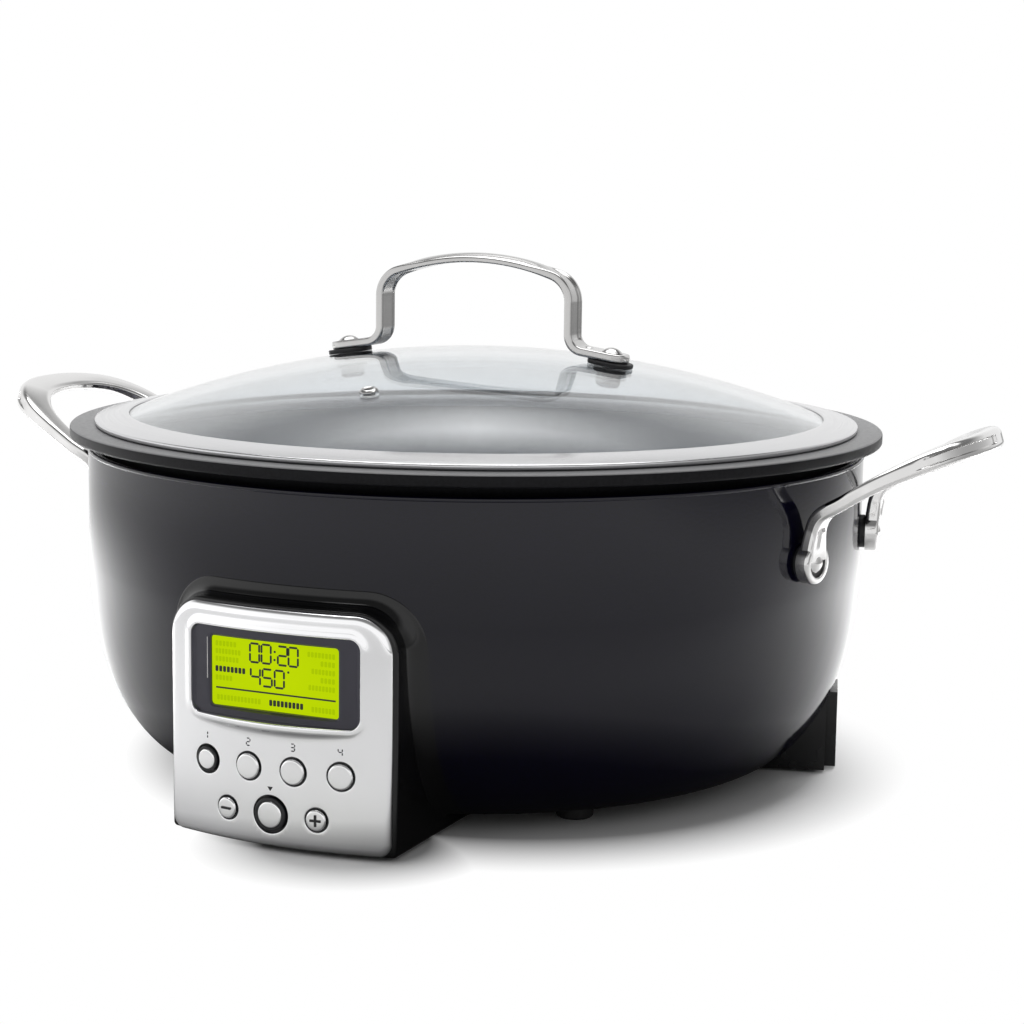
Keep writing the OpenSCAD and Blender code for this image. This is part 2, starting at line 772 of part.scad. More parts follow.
module window_bezel() color("#35343f") difference() {
    intersection() {
        window_slab(window_half_w - fit, window_z0 + fit, window_z1 - fit, window_corner - fit,
            -fascia_r - 5, -display_plane - fit);
        panel_cylinder(fascia_r - bezel_sink);
    }
    window_slab(lcd_half_w, lcd_z0, lcd_z1, 1, -fascia_r - 5, -lcd_plane + 1);
    translate([-lcd_half_w - lcd_margin - fit, -lcd_plane - fit, lcd_z0 - 2 - fit])
        cube([2 * (lcd_half_w + lcd_margin + fit), 20, lcd_z1 - lcd_z0 + 4 + 2 * fit]);
}

module lcd() color("#a6d608")
    translate([-lcd_half_w - lcd_margin, -lcd_plane, lcd_z0 - 2])
        cube([2 * (lcd_half_w + lcd_margin), lcd_t, lcd_z1 - lcd_z0 + 4]);

module board(places, span, plane) {
    difference() {
        translate([-board_half_w, -plane, span[0]])
            cube([2 * board_half_w, board_t, span[1] - span[0]]);
        for (p = places)
            translate([p[0], -plane + board_t + 1, p[1]])
                rotate([90, 0, 0]) cylinder(r = board_screw_r + 0.1, h = board_t + 2, $fn = 32);
    }
}

module display_board() color("#2f5d3a") board(display_screws, display_board_z, display_plane);

module key_board() color("#2f5d3a") board(key_screws, key_board_z, key_plane);

module key_switches() color("#3a3b3f")
    for (b = BUTTONS)
        translate([(key_plane + switch_h) * tan(panel_angle(b[1])), -key_plane, b[2]])
            union() {
                translate([-2.6, 0.6 - switch_h, -2.6]) cube([5.2, switch_h - 0.6, 5.2]);
                rotate([90, 0, 0]) cylinder(r = 1.6, h = switch_h, $fn = 32);
            }

module board_screws() color("#b5b8bc")
    for (group = [[display_screws, display_plane], [key_screws, key_plane]])
        for (p = group[0])
            translate([p[0], -group[1] + board_t + 1.1, p[1]])
                rotate([90, 0, 0]) union() {
                    cylinder(r = 2, h = 1.1, $fn = 32);
                    cylinder(r = board_screw_r - bolt_play, h = board_t + 1.1
                        + min(4, board_reach(p[0]) - group[1] - 0.5), $fn = 32);
                }

// Push button: domed cap, retaining flange behind the fascia and a stem to its switch
module button(b) color("#cfd1d4") {
    a = panel_angle(b[1]);
    front = fascia_r + 0.1;
    cap_r = (pow(b[3], 2) + pow(button_crown, 2)) / (2 * button_crown);
    flange_top = sqrt(pow(fascia_back, 2) - pow(b[3] + button_flange, 2)) - 0.1;
    stem_end = (key_plane + switch_h + button_travel + 0.25) / cos(a) + button_stem_r * sin(abs(a));
    rotate([0, 0, -90 + a])
        translate([0, 0, b[2]])
            rotate([0, 90, 0])
                union() {
                    intersection() {
                        translate([0, 0, flange_top - button_flange_t])
                            cylinder(r = b[3], h = front + 2 - flange_top + button_flange_t, $fn = 64);
                        translate([0, 0, front + button_crown - cap_r]) sphere(r = cap_r, $fn = 128);
                    }
                    translate([0, 0, flange_top - button_flange_t])
                        cylinder(r = b[3] + button_flange, h = button_flange_t, $fn = 64);
                    translate([0, 0, stem_end])
                        cylinder(r = button_stem_r, h = flange_top - stem_end, $fn = 32);
                }
}

// Cast side handles, their spacers and rivets

// Height of the loop's middle at distance x from the axis, and its slope there
function loop_z(x) = let (d = grip_reach - x) grip_z - grip_slope * d - grip_curve * d * d;
function loop_slope(x) = grip_slope + 2 * grip_curve * (grip_reach - x);

function signed_power(v, p) = sign(v) * pow(abs(v), p);

// Middle of the loop; s runs from -1 at the front leg to 1 at the rear leg
function loop_point(s) =
    let (
        x = loop_start + (loop_end - loop_start) * pow(max(0, cos(90 * s)), 2 / loop_power),
        y = loop_half_w * signed_power(sin(90 * s), 2 / loop_power)
    )
    [x, y, loop_z(x)];

// Leg from its rivet pad up and out to the loop; t runs from 0 at the pad to 1 at the loop
function leg_point(t, side) =
    let (
        foot = [pad_mid_r * cos(rivet_angle), side * pad_mid_r * sin(rivet_angle), rivet_z + 3],
        end = loop_point(side)
    )
    bezier([foot, foot + [0, 0, 17], end - 9 * [1, 0, loop_slope(loop_start)], end], t);

function handle_path() = concat(
    [for (i = [0 : leg_rings - 1]) leg_point(i / leg_rings, -1)],
    [for (i = [0 : loop_rings]) loop_point(2 * i / loop_rings - 1)],
    [for (i = [leg_rings - 1 : -1 : 0]) leg_point(i / leg_rings, 1)]);

// Thickness direction at distance x from the axis: towards the shell at a pad, up over the loop
function handle_up(i, last, x) =
    let (
        k = min(1, min(i, last - i) / leg_rings),
        a = 90 * (1 - k),
        side = i < last / 2 ? -1 : 1
    )
    [-cos(rivet_angle) * sin(a) - k * loop_slope(x), -side * sin(rivet_angle) * sin(a), cos(a)];

// Share of the way from a leg's section to the grip's, reached at grow of the way round to the grip's middle
function grip_share(i, last, grow) =
    let (k = max(0, min(i, last - i) - leg_rings) / (loop_rings / 2))
    (1 - cos(180 * min(1, k / grow))) / 2;

// Section all round: its four quarters and the crowns between them
function handle_section() = concat(
    section_quarter, [[0, section_crown, 0]],
    [for (p = reversed(section_quarter)) [-p[0], p[1], p[2]]],
    [for (p = section_quarter) [-p[0], -p[1], p[2]]], [[0, -section_crown, 0]],
    [for (p = reversed(section_quarter)) [p[0], -p[1], p[2]]]);

module handle() {
    path = handle_path();
    section = handle_section();
    last = len(path) - 1;
    points = [
        for (i = [0 : last])
            let (
                t = unit(path[min(i + 1, last)] - path[max(i - 1, 0)]),
                across = unit(cross(t, handle_up(i, last, path[i][0]))),
                up = cross(across, t),
                share = grip_share(i, last, 0.65),
                half_w = mix(leg_half_w, grip_w / 2, share),
                half_t = mix(handle_t, grip_t, share) / (2 * section_crown),
                channel = channel_in * grip_share(i, last, 0.45)
            )
            for (p = section)
                path[i] + across * (half_w * p[0] - channel * p[2] * sign(p[0])) + up * half_t * p[1]
    ];
    difference() {
        union() {
            swept(points, len(path), len(section));
            for (s = [-1, 1])
                radial_cylinder(s * rivet_angle, rivet_z, pad_back_r, pad_front_r, pad_r);
        }
        for (s = [-1, 1]) {
            radial_cylinder(s * rivet_angle, rivet_z, pad_back_r - 1, pad_front_r + 9, rivet_r + bolt_play);
            radial_cylinder(s * rivet_angle, rivet_z, pad_front_r - rivet_recess,
                pad_front_r + 9, rivet_recess_r);
        }
    }
}

module handle_right() color("#c9cacc") handle();

module handle_left() color("#c9cacc") mirror([1, 0, 0]) handle();

module handle_spacers() color("#1c1c1e")
    rivet_places() difference() {
        radial_cylinder(0, rivet_z, shell_r - 2, pad_back_r - fit, pad_r - 2);
        cylinder(r = shell_r + fit, h = shell_top, $fn = 360);
        radial_cylinder(0, rivet_z, shell_r - 5, pad_back_r + 1, rivet_r + bolt_play);
    }

// Turned fastener along +Z: shank from a tail's underside to the seat at zero, and a domed head
module domed_fastener(shank_r, shank_l, head_r, dome, tail_r = 0, tail_t = 0) {
    ball = (head_r * head_r + dome * dome) / (2 * dome);
    rotate_extrude($fn = 64)
        union() {
            intersection() {
                translate([0, dome - ball]) circle(r = ball, $fn = 180);
                square([head_r, dome + 1]);
            }
            translate([0, -shank_l]) square([shank_r, shank_l + dome / 2]);
            if (tail_t > 0)
                translate([0, -shank_l]) square([tail_r, tail_t]);
        }
}

module handle_rivets() color("#b9babd")
    rivet_places() {
        seat = pad_front_r - rivet_recess;
        tail = shell_r - shell_t - 0.15 - rivet_tail_t;
        translate([seat, 0, rivet_z])
            rotate([0, 90, 0])
                domed_fastener(rivet_r, seat - tail, rivet_head_r, rivet_dome, rivet_r + 1.2, rivet_tail_t);
    }

// Lift-out pan

module pan() color("#3a3b3d") {
    outer = bowl_curve(pan_r, bowl_z, pan_flat_r, pan_z);
    inner = bowl_curve(mouth_r, bowl_z, pan_flat_r - 1, pan_z + pan_floor_t);
    e = flange_edge;
    rotate_extrude()
        polygon(concat(
            [[0, pan_z]], outer,
            [[pan_r, flange_z], [flange_r - e, flange_z], [flange_r, flange_z + e],
             [flange_r, rim_z - e], [flange_r - e, rim_z], [mouth_r + e, rim_z], [mouth_r, rim_z - e]],
            reversed(inner), [[0, pan_z + pan_floor_t]]));
}

// Lid

// Height of the glass dome's outer face at distance r from the axis, with the face set in by t
function dome_z(r, t = 0) = dome_c + sqrt(pow(dome_r - t, 2) - r * r);

// Frame at a point of the dome, with +Z along the glass's outward direction
module on_dome(dist, angle) {
    tilt = asin(dist / dome_r);
    rotate([0, 0, angle])
        translate([0, 0, dome_c])
            rotate([0, tilt, 0])
                translate([0, 0, dome_r]) children();
}

module strap_screw_places() {
    for (a = [0, 180])
        on_dome(strap_screw_x, a) children();
}

module lid_glass() color("#c7d6dc", 0.4) difference() {
    rotate_extrude()
        intersection() {
            translate([0, dome_c]) difference() {
                circle(r = dome_r, $fn = 360);
                circle(r = dome_r - glass_t, $fn = 360);
            }
            translate([0, rim_z - 20]) square([glass_r, dome_rise + 40]);
        }
    strap_screw_places()
        translate([0, 0, -glass_t - 3]) cylinder(r = strap_screw_r + 0.4, h = glass_t + 6, $fn = 48);
    on_dome(vent_dist, vent_angle)
        translate([0, 0, -glass_t - 3]) cylinder(r = vent_r + fit, h = glass_t + 6, $fn = 48);
}

module lid_ring() color("#c2c4c6") {
    seat = channel_r - ring_t;
    under = dome_z(glass_r, glass_t);
    tuck_r = glass_r - 4;
    rotate_extrude()
        polygon([
            [ring_in_r, dome_z(ring_in_r) + 2 * fit], [seat, dome_z(seat) + 2 * fit],
            [seat, under - 2 * fit], [tuck_r, dome_z(tuck_r, glass_t) - 2 * fit],
            [tuck_r, dome_z(tuck_r, glass_t) - 2 * fit - ring_t], [channel_r, under - 2 * fit - ring_t],
            [channel_r, rim_z], [ring_out_r - 1.2, rim_z], [ring_out_r - 0.35, rim_z + 0.4],
            [ring_out_r, rim_z + 1.2], [ring_out_r - 0.35, rim_z + 2],
            [ring_out_r - 1.2, rim_z + 2.5], [ring_in_r + 0.4, dome_z(ring_in_r) + ring_t]
        ]);
}

// Part of a ring in X and Z about a centre, between two radii and two angles under 180 degrees apart
module ring_sector(c, r0, r1, from, to) {
    far = 2 * r1;
    a0 = from - sector_lap;
    a1 = to + sector_lap;
    translate(c)
        intersection() {
            difference() {
                circle(r = r1, $fn = 180);
                circle(r = r0, $fn = 180);
            }
            polygon([[0, 0], far * [cos(a0), sin(a0)],
                far * [cos((a0 + a1) / 2), sin((a0 + a1) / 2)], far * [cos(a1), sin(a1)]]);
        }
}

// Right half of the strap's outline in X and Z: arch, corner, leg, bend and foot
module strap_outline() {
    arch_c = [0, strap_top - strap_arch_r];
    corner_x = strap_leg_x - strap_corner_r;
    corner_c = [corner_x,
        arch_c[1] + sqrt(pow(strap_arch_r - strap_corner_r, 2) - corner_x * corner_x)];
    join = atan2(corner_c[1] - arch_c[1], corner_x);
    bend_x = strap_leg_x + strap_bend_r;
    bend_up = dome_r + strap_pad_t + strap_t + strap_bend_r;
    bend_z = dome_c + (bend_up - bend_x * sin(foot_tilt)) / cos(foot_tilt);
    foot_l = (strap_screw_x + strap_foot_past - bend_x) / cos(foot_tilt);
    ring_sector(arch_c, strap_arch_r - strap_t, strap_arch_r, join, 90);
    ring_sector(corner_c, strap_corner_r - strap_t, strap_corner_r, 0, join);
    translate([strap_leg_x - strap_t, bend_z - fit]) square([strap_t, corner_c[1] - bend_z + 2 * fit]);
    ring_sector([bend_x, bend_z], strap_bend_r, strap_bend_r + strap_t, 180, 270 - foot_tilt);
    translate([bend_x, bend_z])
        rotate(-foot_tilt)
            translate([-fit, -strap_bend_r - strap_t]) square([foot_l, strap_t]);
}

module lid_handle() color("#bfc1c4") difference() {
    translate([0, strap_w / 2, 0])
        rotate([90, 0, 0])
            linear_extrude(strap_w)
                union() {
                    strap_outline();
                    mirror([1, 0]) strap_outline();
                }
    strap_screw_places()
        cylinder(r = strap_screw_r + bolt_play, h = strap_pad_t + strap_t + 2, $fn = 48);
}

module lid_pad(angle) color("#17171a")
    on_dome(strap_screw_x, angle)
        translate([0, 0, fit])
            difference() {
                translate([-strap_pad_in, -strap_w / 2 - 0.8, 0])
                    cube([strap_pad_l, strap_w + 1.6, strap_pad_t - 2 * fit]);
                translate([0, 0, -1]) cylinder(r = strap_screw_r + 0.2, h = strap_pad_t + 2, $fn = 48);
            }

module lid_screws() color("#c4c6c9")
    strap_screw_places()
        translate([0, 0, strap_pad_t + strap_t])
            domed_fastener(strap_screw_r, strap_pad_t + strap_t + glass_t + nut_h,
                strap_screw_head_r, rivet_dome);

module lid_washers() color("#222225")
    strap_screw_places()
        translate([0, 0, -glass_t - washer_t - 2 * fit]) difference() {
            cylinder(r = washer_r, h = washer_t, $fn = 48);
            translate([0, 0, -1]) cylinder(r = strap_screw_r + 2 * bolt_play, h = washer_t + 2, $fn = 48);
        }

module lid_nuts() color("#b9babd")
    strap_screw_places()
        translate([0, 0, -glass_t - washer_t - nut_h - 4 * fit]) difference() {
            cylinder(r = nut_r, h = nut_h, $fn = 48);
            translate([0, 0, 1.2]) cylinder(r = strap_screw_r + bolt_play, h = nut_h, $fn = 48);
        }

module vent_eyelet() color("#c6c8ca")
    on_dome(vent_dist, vent_angle)
        difference() {
            union() {
                translate([0, 0, -glass_t - vent_lip_t])
                    cylinder(r = vent_r, h = glass_t + 2 * vent_lip_t, $fn = 48);
                translate([0, 0, 2 * fit]) cylinder(r = vent_r + vent_lip, h = vent_lip_t, $fn = 48);
                translate([0, 0, -glass_t - vent_lip_t - 2 * fit])
                    cylinder(r = vent_r + vent_lip, h = vent_lip_t, $fn = 48);
            }
            translate([0, 0, -glass_t - 2]) cylinder(r = vent_r - 0.8, h = glass_t + 4, $fn = 48);
        }

shell();
liner();
bottom_cover();
foot(-45);  // foot_front_right
foot(-135);  // foot_front_left
foot(45);  // foot_rear_right
foot(135);  // foot_rear_left
foot_screws();
heater_plate();
heater_element();
heater_posts();
reflector();
temp_sensor();
thermal_cutout();
power_board();
relay();
terminal_block();
mains_loom();
heater_loom();
control_loom();
shell_grommet();
inlet_block();
inlet_insert();
inlet_pins();
housing();
housing_screws();
fascia();
window_bezel();
lcd();
display_board();
key_board();
key_switches();
board_screws();
handle_right();
handle_left();
handle_spacers();
handle_rivets();
for (b = BUTTONS)
    button(b);
pan();
lid_glass();
lid_ring();
lid_handle();
lid_pad(0);  // lid_pad_right
lid_pad(180);  // lid_pad_left
lid_screws();
lid_washers();
lid_nuts();
vent_eyelet();
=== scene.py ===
import json
import math

import bmesh
import bpy
import numpy as np
from mathutils import Matrix
from mathutils.geometry import delaunay_2d_cdt


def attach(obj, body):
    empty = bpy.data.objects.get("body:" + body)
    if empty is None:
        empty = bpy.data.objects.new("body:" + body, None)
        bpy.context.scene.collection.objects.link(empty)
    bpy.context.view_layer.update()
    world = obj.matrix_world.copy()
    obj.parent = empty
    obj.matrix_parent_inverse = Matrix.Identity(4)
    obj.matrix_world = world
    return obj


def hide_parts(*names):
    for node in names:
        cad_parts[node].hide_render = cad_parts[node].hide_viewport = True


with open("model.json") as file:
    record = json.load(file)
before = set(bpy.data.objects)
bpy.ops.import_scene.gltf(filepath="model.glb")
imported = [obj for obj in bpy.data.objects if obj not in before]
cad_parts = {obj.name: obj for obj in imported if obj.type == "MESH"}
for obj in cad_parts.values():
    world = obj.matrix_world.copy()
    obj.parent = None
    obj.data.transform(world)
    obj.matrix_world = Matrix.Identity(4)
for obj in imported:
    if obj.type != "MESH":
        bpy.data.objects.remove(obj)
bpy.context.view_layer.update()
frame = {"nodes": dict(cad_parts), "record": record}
print("frame loaded:", len(frame["nodes"]), "nodes")

mm = 0.001
wholeTurn = 2 * math.pi
scene = bpy.context.scene

# Camera at the photograph's angle: place in metres, angles in degrees, lens in millimetres
view = dict(place=(0.3911, -0.8431, 0.2426), azimuth=24.884, pitch=8.806, roll=0.619,
            lens=79.73, sensor=36, shift=0.0358)


def addCamera():
    # faces an azimuth, tips down by a pitch and rolls about its own line of sight
    a, p, q = (math.radians(view[k]) for k in ("azimuth", "pitch", "roll"))
    right = np.array([math.cos(a), math.sin(a), 0])
    ahead = np.array([-math.sin(a) * math.cos(p), math.cos(a) * math.cos(p), -math.sin(p)])
    up = np.cross(right, ahead)
    side = right * math.cos(q) + up * math.sin(q)
    top = up * math.cos(q) - right * math.sin(q)
    camera = bpy.data.objects.new("camera", bpy.data.cameras.new("camera"))
    camera.data.sensor_width = view["sensor"]
    camera.data.lens = view["lens"]
    camera.data.shift_x = view["shift"]
    placed = Matrix(np.column_stack([side, top, -ahead]).tolist()).to_4x4()
    placed.translation = view["place"]
    camera.matrix_world = placed
    scene.collection.objects.link(camera)
    scene.camera = camera


addCamera()
scene.view_settings.view_transform = "Standard"


# Node helpers

def node(tree, kind, inputs=(), **settings):
    # adds a shader node, sets its options, and links its inputs to sockets or fills them with values
    made = tree.nodes.new("ShaderNode" + kind)
    for key, value in settings.items():
        setattr(made, key, value)
    for key, value in dict(inputs).items():
        if isinstance(value, bpy.types.NodeSocket):
            tree.links.new(value, made.inputs[key])
        else:
            made.inputs[key].default_value = value
    return made


def maths(tree, operation, first, second=0.0):
    # one step of arithmetic on sockets or numbers
    return node(tree, "Math", {0: first, 1: second}, operation=operation).outputs[0]


def mapped(tree, value, low, high, fromLow=0.0, fromHigh=1.0):
    # carries a value from one range straight to another, held at both ends
    inputs = {"Value": value, "From Min": fromLow, "From Max": fromHigh, "To Min": low, "To Max": high}
    return node(tree, "MapRange", inputs).outputs["Result"]


def noise(tree, vector, scale, detail=2.0):
    # soft noise of a given scale
    return node(tree, "TexNoise", {"Vector": vector, "Scale": scale, "Detail": detail}).outputs["Fac"]


def objectPlace(tree, stretch=(1, 1, 1)):
    # the piece's own coordinates, stretched
    place = node(tree, "TexCoord").outputs["Object"]
    return node(tree, "Mapping", {"Vector": place, "Scale": stretch}).outputs["Vector"]


def turnedPlace(tree, around=0.004):
    # radius, height and a little of the angle, so that a pattern runs round the axis
    split = node(tree, "SeparateXYZ", {"Vector": node(tree, "TexCoord").outputs["Object"]})
    x, y, z = split.outputs
    squares = maths(tree, "ADD", maths(tree, "MULTIPLY", x, x), maths(tree, "MULTIPLY", y, y))
    angle = maths(tree, "MULTIPLY", maths(tree, "ARCTAN2", y, x), around)
    parts = {"X": maths(tree, "SQRT", squares), "Y": z, "Z": angle}
    return node(tree, "CombineXYZ", parts).outputs["Vector"]


def ofRays(tree, *kinds):
    # one for a ray of any of these kinds, else zero
    path = node(tree, "LightPath")
    found = [path.outputs["Is " + kind + " Ray"] for kind in kinds]
    while len(found) > 1:
        found = [maths(tree, "MAXIMUM", *found[:2])] + found[2:]
    return found[0]


def seenStraight(tree):
    # what the camera sees, straight on or through the glass
    return ofRays(tree, "Camera", "Transmission")


def levelReach(tree, place, turn):
    # how far a place lies in a level direction, turned by an angle from the camera's right
    a = math.radians(view["azimuth"] + turn)
    way = (math.cos(a), math.sin(a), 0)
    return node(tree, "VectorMath", {0: place, 1: way}, operation="DOT_PRODUCT").outputs["Value"]


# Studio: a white sweep under a dim ceiling. One soft box overhead lights the set, one high behind it
# gives the lid its sheen, and one beside each flank lights the sweep that the vessel's edges mirror.
studio = dict(
    ambient=0.3, ceiling=0.22, ceilingRise=(0.44, 0.66), floorWidth=9.0, floorTone=0.92,
    nearFade=(0.135, 0.175), nearShift=0.018, nearSquash=1.08, footAt=(-0.045, 0.142), footFade=(0.03, 0.056),
    farFade=(0.5, 0.9), shade=(0.168, 0.225), shadeTone=0.17, shadeSquash=1.35, frontFall=(0.5, 0.95),
    frontTone=0.9, leftFall=(0.75, 1.05), leftTone=1.25, rightFall=(0.62, 1.0), rightTone=0.4)
# each lamp: name, place, what it points at, size, watts, soft edge, spread in degrees
lamps = (("lampTop", (-0.15, 0.25, 1.6), (0, 0, 0.05), (1.6, 1.2), 20.0, 0.1, 180),
         ("lampBack", (-0.34, 0.73, 0.98), (0.05, -0.11, 0.147), (0.85, 0.36), 2.2, 0.5, 180),
         ("lampLeft", (-0.44, 0.08, 0.5), (-0.43, 0.08, 0), (0.6, 0.5), 5.0, 0.5, 76),
         ("lampRight", (0.29, 0.38, 0.5), (0.28, 0.38, 0), (0.6, 0.5), 5.0, 0.5, 76))


def flankTone(tree, across):
    # mirrored, the surroundings brighten to the left and grow dimmer to the right
    right = mapped(tree, across, 1.0, studio["rightTone"], *studio["rightFall"])
    left = mapped(tree, maths(tree, "MULTIPLY", across, -1.0), 1.0, studio["leftTone"], *studio["leftFall"])
    return maths(tree, "MULTIPLY", left, right)


def addWorld():
    # straight on, the room is white; mirrored, it darkens upwards into a ceiling and varies to the sides
    world = bpy.data.worlds.new("studio")
    scene.world = world
    world.use_nodes = True
    tree = world.node_tree
    way = node(tree, "TexCoord").outputs["Generated"]
    up = node(tree, "SeparateXYZ", {"Vector": way}).outputs["Z"]
    wall = mapped(tree, up, 1.0, studio["ceiling"], *studio["ceilingRise"])
    mirrored = maths(tree, "MULTIPLY", wall, flankTone(tree, levelReach(tree, way, 0)))
    shown = node(tree, "Mix", {"Factor": seenStraight(tree), "A": mirrored, "B": 1.0}).outputs["Result"]
    # camera, metal and glass see the room; the light that falls on surfaces is even and dimmer
    seen = ofRays(tree, "Camera", "Glossy", "Transmission")
    strength = maths(tree, "ADD", maths(tree, "MULTIPLY", seen, shown),
                     mapped(tree, seen, studio["ambient"], 0.0))
    background = tree.nodes["Background"]
    tree.links.new(strength, background.inputs["Strength"])
    background.inputs["Color"].default_value = (1, 1, 1, 1)


def addFloor():
    # level square that looks different straight on and mirrored
    w = studio["floorWidth"] / 2
    mesh = bpy.data.meshes.new("floor")
    mesh.from_pydata([(-w, -w, 0), (w, -w, 0), (w, w, 0), (-w, w, 0)], [], [(0, 1, 2, 3)])
    floor = bpy.data.objects.new("floor", mesh)
    scene.collection.objects.link(floor)
    material = bpy.data.materials.new("sweep")
    material.use_nodes = True
    tree = material.node_tree
    tree.nodes.remove(tree.nodes["Principled BSDF"])
    place = node(tree, "TexCoord").outputs["Object"]
    away = node(tree, "VectorMath", {0: place}, operation="LENGTH").outputs["Value"]
    across, ahead = (levelReach(tree, place, turn) for turn in (0, -90))
    straight = seenStraight(tree)

    def bySight(mirrored, direct):
        # one value for what is mirrored, another for what is seen straight on
        return node(tree, "Mix", {"Factor": straight, "A": mirrored, "B": direct}).outputs["Result"]

    def distance(right, front):
        # length of a level offset
        squares = maths(tree, "ADD", maths(tree, "POWER", right, 2.0), maths(tree, "POWER", front, 2.0))
        return maths(tree, "SQRT", squares)

    # straight on, the sweep is white close round the shadow and keeps a little shade before the panel;
    # mirrored, its colour is painted with shade all round the object, and it falls off in front
    beside = maths(tree, "SUBTRACT", across, studio["nearShift"])
    aside = maths(tree, "MULTIPLY", beside, studio["nearSquash"])
    near = distance(aside, ahead)
    foot = distance(*[maths(tree, "SUBTRACT", d, at) for d, at in zip((across, ahead), studio["footAt"])])
    white = maths(tree, "MINIMUM", mapped(tree, near, 0, 1, *studio["nearFade"]),
                  mapped(tree, foot, 0, 1, *studio["footFade"]))
    fade = bySight(mapped(tree, away, 0, 1, *studio["farFade"]), white)
    front = mapped(tree, ahead, 1.0, studio["frontTone"], *studio["frontFall"])
    flank = flankTone(tree, across)
    glow = bySight(maths(tree, "MULTIPLY", front, flank), 1.0)
    # painted shadow: seen mirrored, the sweep's colour darkens round the object down to shadeTone
    dark, pale = studio["floorTone"] * studio["shadeTone"], studio["floorTone"]
    shaded = distance(maths(tree, "MULTIPLY", across, studio["shadeSquash"]), ahead)
    tone = bySight(mapped(tree, shaded, dark, pale, *studio["shade"]), pale)
    matte = node(tree, "BsdfDiffuse", {"Color": tone})
    bright = node(tree, "Emission", {"Color": (1, 1, 1, 1), "Strength": glow})
    both = node(tree, "MixShader", {0: fade, 1: matte.outputs[0], 2: bright.outputs[0]})
    tree.links.new(both.outputs[0], tree.nodes["Material Output"].inputs["Surface"])
    mesh.materials.append(material)


def addLamp(name, place, aim, size, power, softEdge, spread):
    # soft box: a rectangle that faces its aim and isn't itself in the picture
    lamp = bpy.data.lights.new(name, "AREA")
    lamp.shape = "RECTANGLE"
    lamp.size, lamp.size_y = size
    lamp.energy = power
    lamp.spread = math.radians(spread)
    lamp.use_nodes = True
    tree = lamp.node_tree
    # the diffuser falls off towards its edges
    across = node(tree, "SeparateXYZ", {"Vector": node(tree, "NewGeometry").outputs["Parametric"]})
    sides = [maths(tree, "SUBTRACT", 0.5, maths(tree, "ABSOLUTE", maths(tree, "SUBTRACT", along, 0.5)))
             for along in across.outputs[:2]]
    falls = [mapped(tree, side, 0, 1, 0, softEdge) for side in sides]
    tree.links.new(maths(tree, "MULTIPLY", *falls), tree.nodes["Emission"].inputs["Strength"])
    box = bpy.data.objects.new(name, lamp)
    box.visible_camera = False
    back = np.array(place) - np.array(aim)
    back = back / np.linalg.norm(back)
    side = np.cross((0, 0, 1), back)
    side = side / np.linalg.norm(side)
    placed = Matrix(np.column_stack([side, np.cross(back, side), back]).tolist()).to_4x4()
    placed.translation = place
    box.matrix_world = placed
    scene.collection.objects.link(box)


addWorld()
addFloor()
for lamp in lamps:
    addLamp(*lamp)
print("camera and studio ready")


# Finishes: a soft cloud drifts the tone and the gloss, a finer grit gives the bump
grain = dict(drift=(0.3, 0.7), detail=3.0, bump=0.0006)
lidGlass = dict(cloud=18, drift=(0.35, 0.65), ior=1.5)
backlight = dict(colour=(0.03, 0.045, 0.0), midZ=0.0626, across=38, up=62, fall=(0.2, 1.15))
# radii and heights in metres at which the pan's coating changes, and how much it shines there; paler and topZ
# mark where light is painted into it, towards the mouth and on the flange's top
coating = dict(floorZ=0.0395, turnZ=0.084, floorR=0.1115, bulge=0.03885, paler=(0.1205, 0.1315), mouthZ=0.136,
               underZ=0.1326, topZ=0.1364, shine=0.5, edgeShine=0.18, underShine=0.08)


def blankMaterial(name):
    # a new material with its nodes and its shader
    material = bpy.data.materials.new(name)
    material.use_nodes = True
    return material, material.node_tree, material.node_tree.nodes["Principled BSDF"]


def colourMix(tree, share, first, second):
    # colours are sockets or three numbers
    full = [c if isinstance(c, bpy.types.NodeSocket) else (*c, 1) for c in (first, second)]
    return node(tree, "Mix", {"Factor": share, 6: full[0], 7: full[1]}, data_type="RGBA").outputs[2]


def surface(name, colour, metal, rough, cloud, grit, depth, tone=0.08, stretch=(1, 1, 1), turned=False,
            **sockets):
    # tone and gloss drift with the cloud, the grit raises the surface, and the sockets are set as given
    material, tree, shader = blankMaterial(name)
    shader.inputs["Metallic"].default_value = metal
    for key, value in sockets.items():
        shader.inputs[key.replace("_", " ")].default_value = value
    place = turnedPlace(tree) if turned else objectPlace(tree, stretch)
    drift = noise(tree, place, cloud, grain["detail"])
    tree.links.new(mapped(tree, drift, *rough, *grain["drift"]), shader.inputs["Roughness"])
    darker, lighter = ([min(1, c * share) for c in colour] for share in (1 - tone, 1 + tone))
    mixed = colourMix(tree, mapped(tree, drift, 0, 1, *grain["drift"]), darker, lighter)
    tree.links.new(mixed, shader.inputs["Base Color"])
    fine = noise(tree, place, grit)
    raised = node(tree, "Bump", {"Height": fine, "Strength": depth, "Distance": grain["bump"]})
    tree.links.new(raised.outputs["Normal"], shader.inputs["Normal"])
    return material


def clearGlass(name, colour, rough):
    # clear glass whose gloss drifts a little
    material, tree, shader = blankMaterial(name)
    shader.inputs["Base Color"].default_value = (*colour, 1)
    shader.inputs["Transmission Weight"].default_value = 1
    shader.inputs["IOR"].default_value = lidGlass["ior"]
    drift = noise(tree, objectPlace(tree), lidGlass["cloud"])
    tree.links.new(mapped(tree, drift, *rough, *lidGlass["drift"]), shader.inputs["Roughness"])
    return material


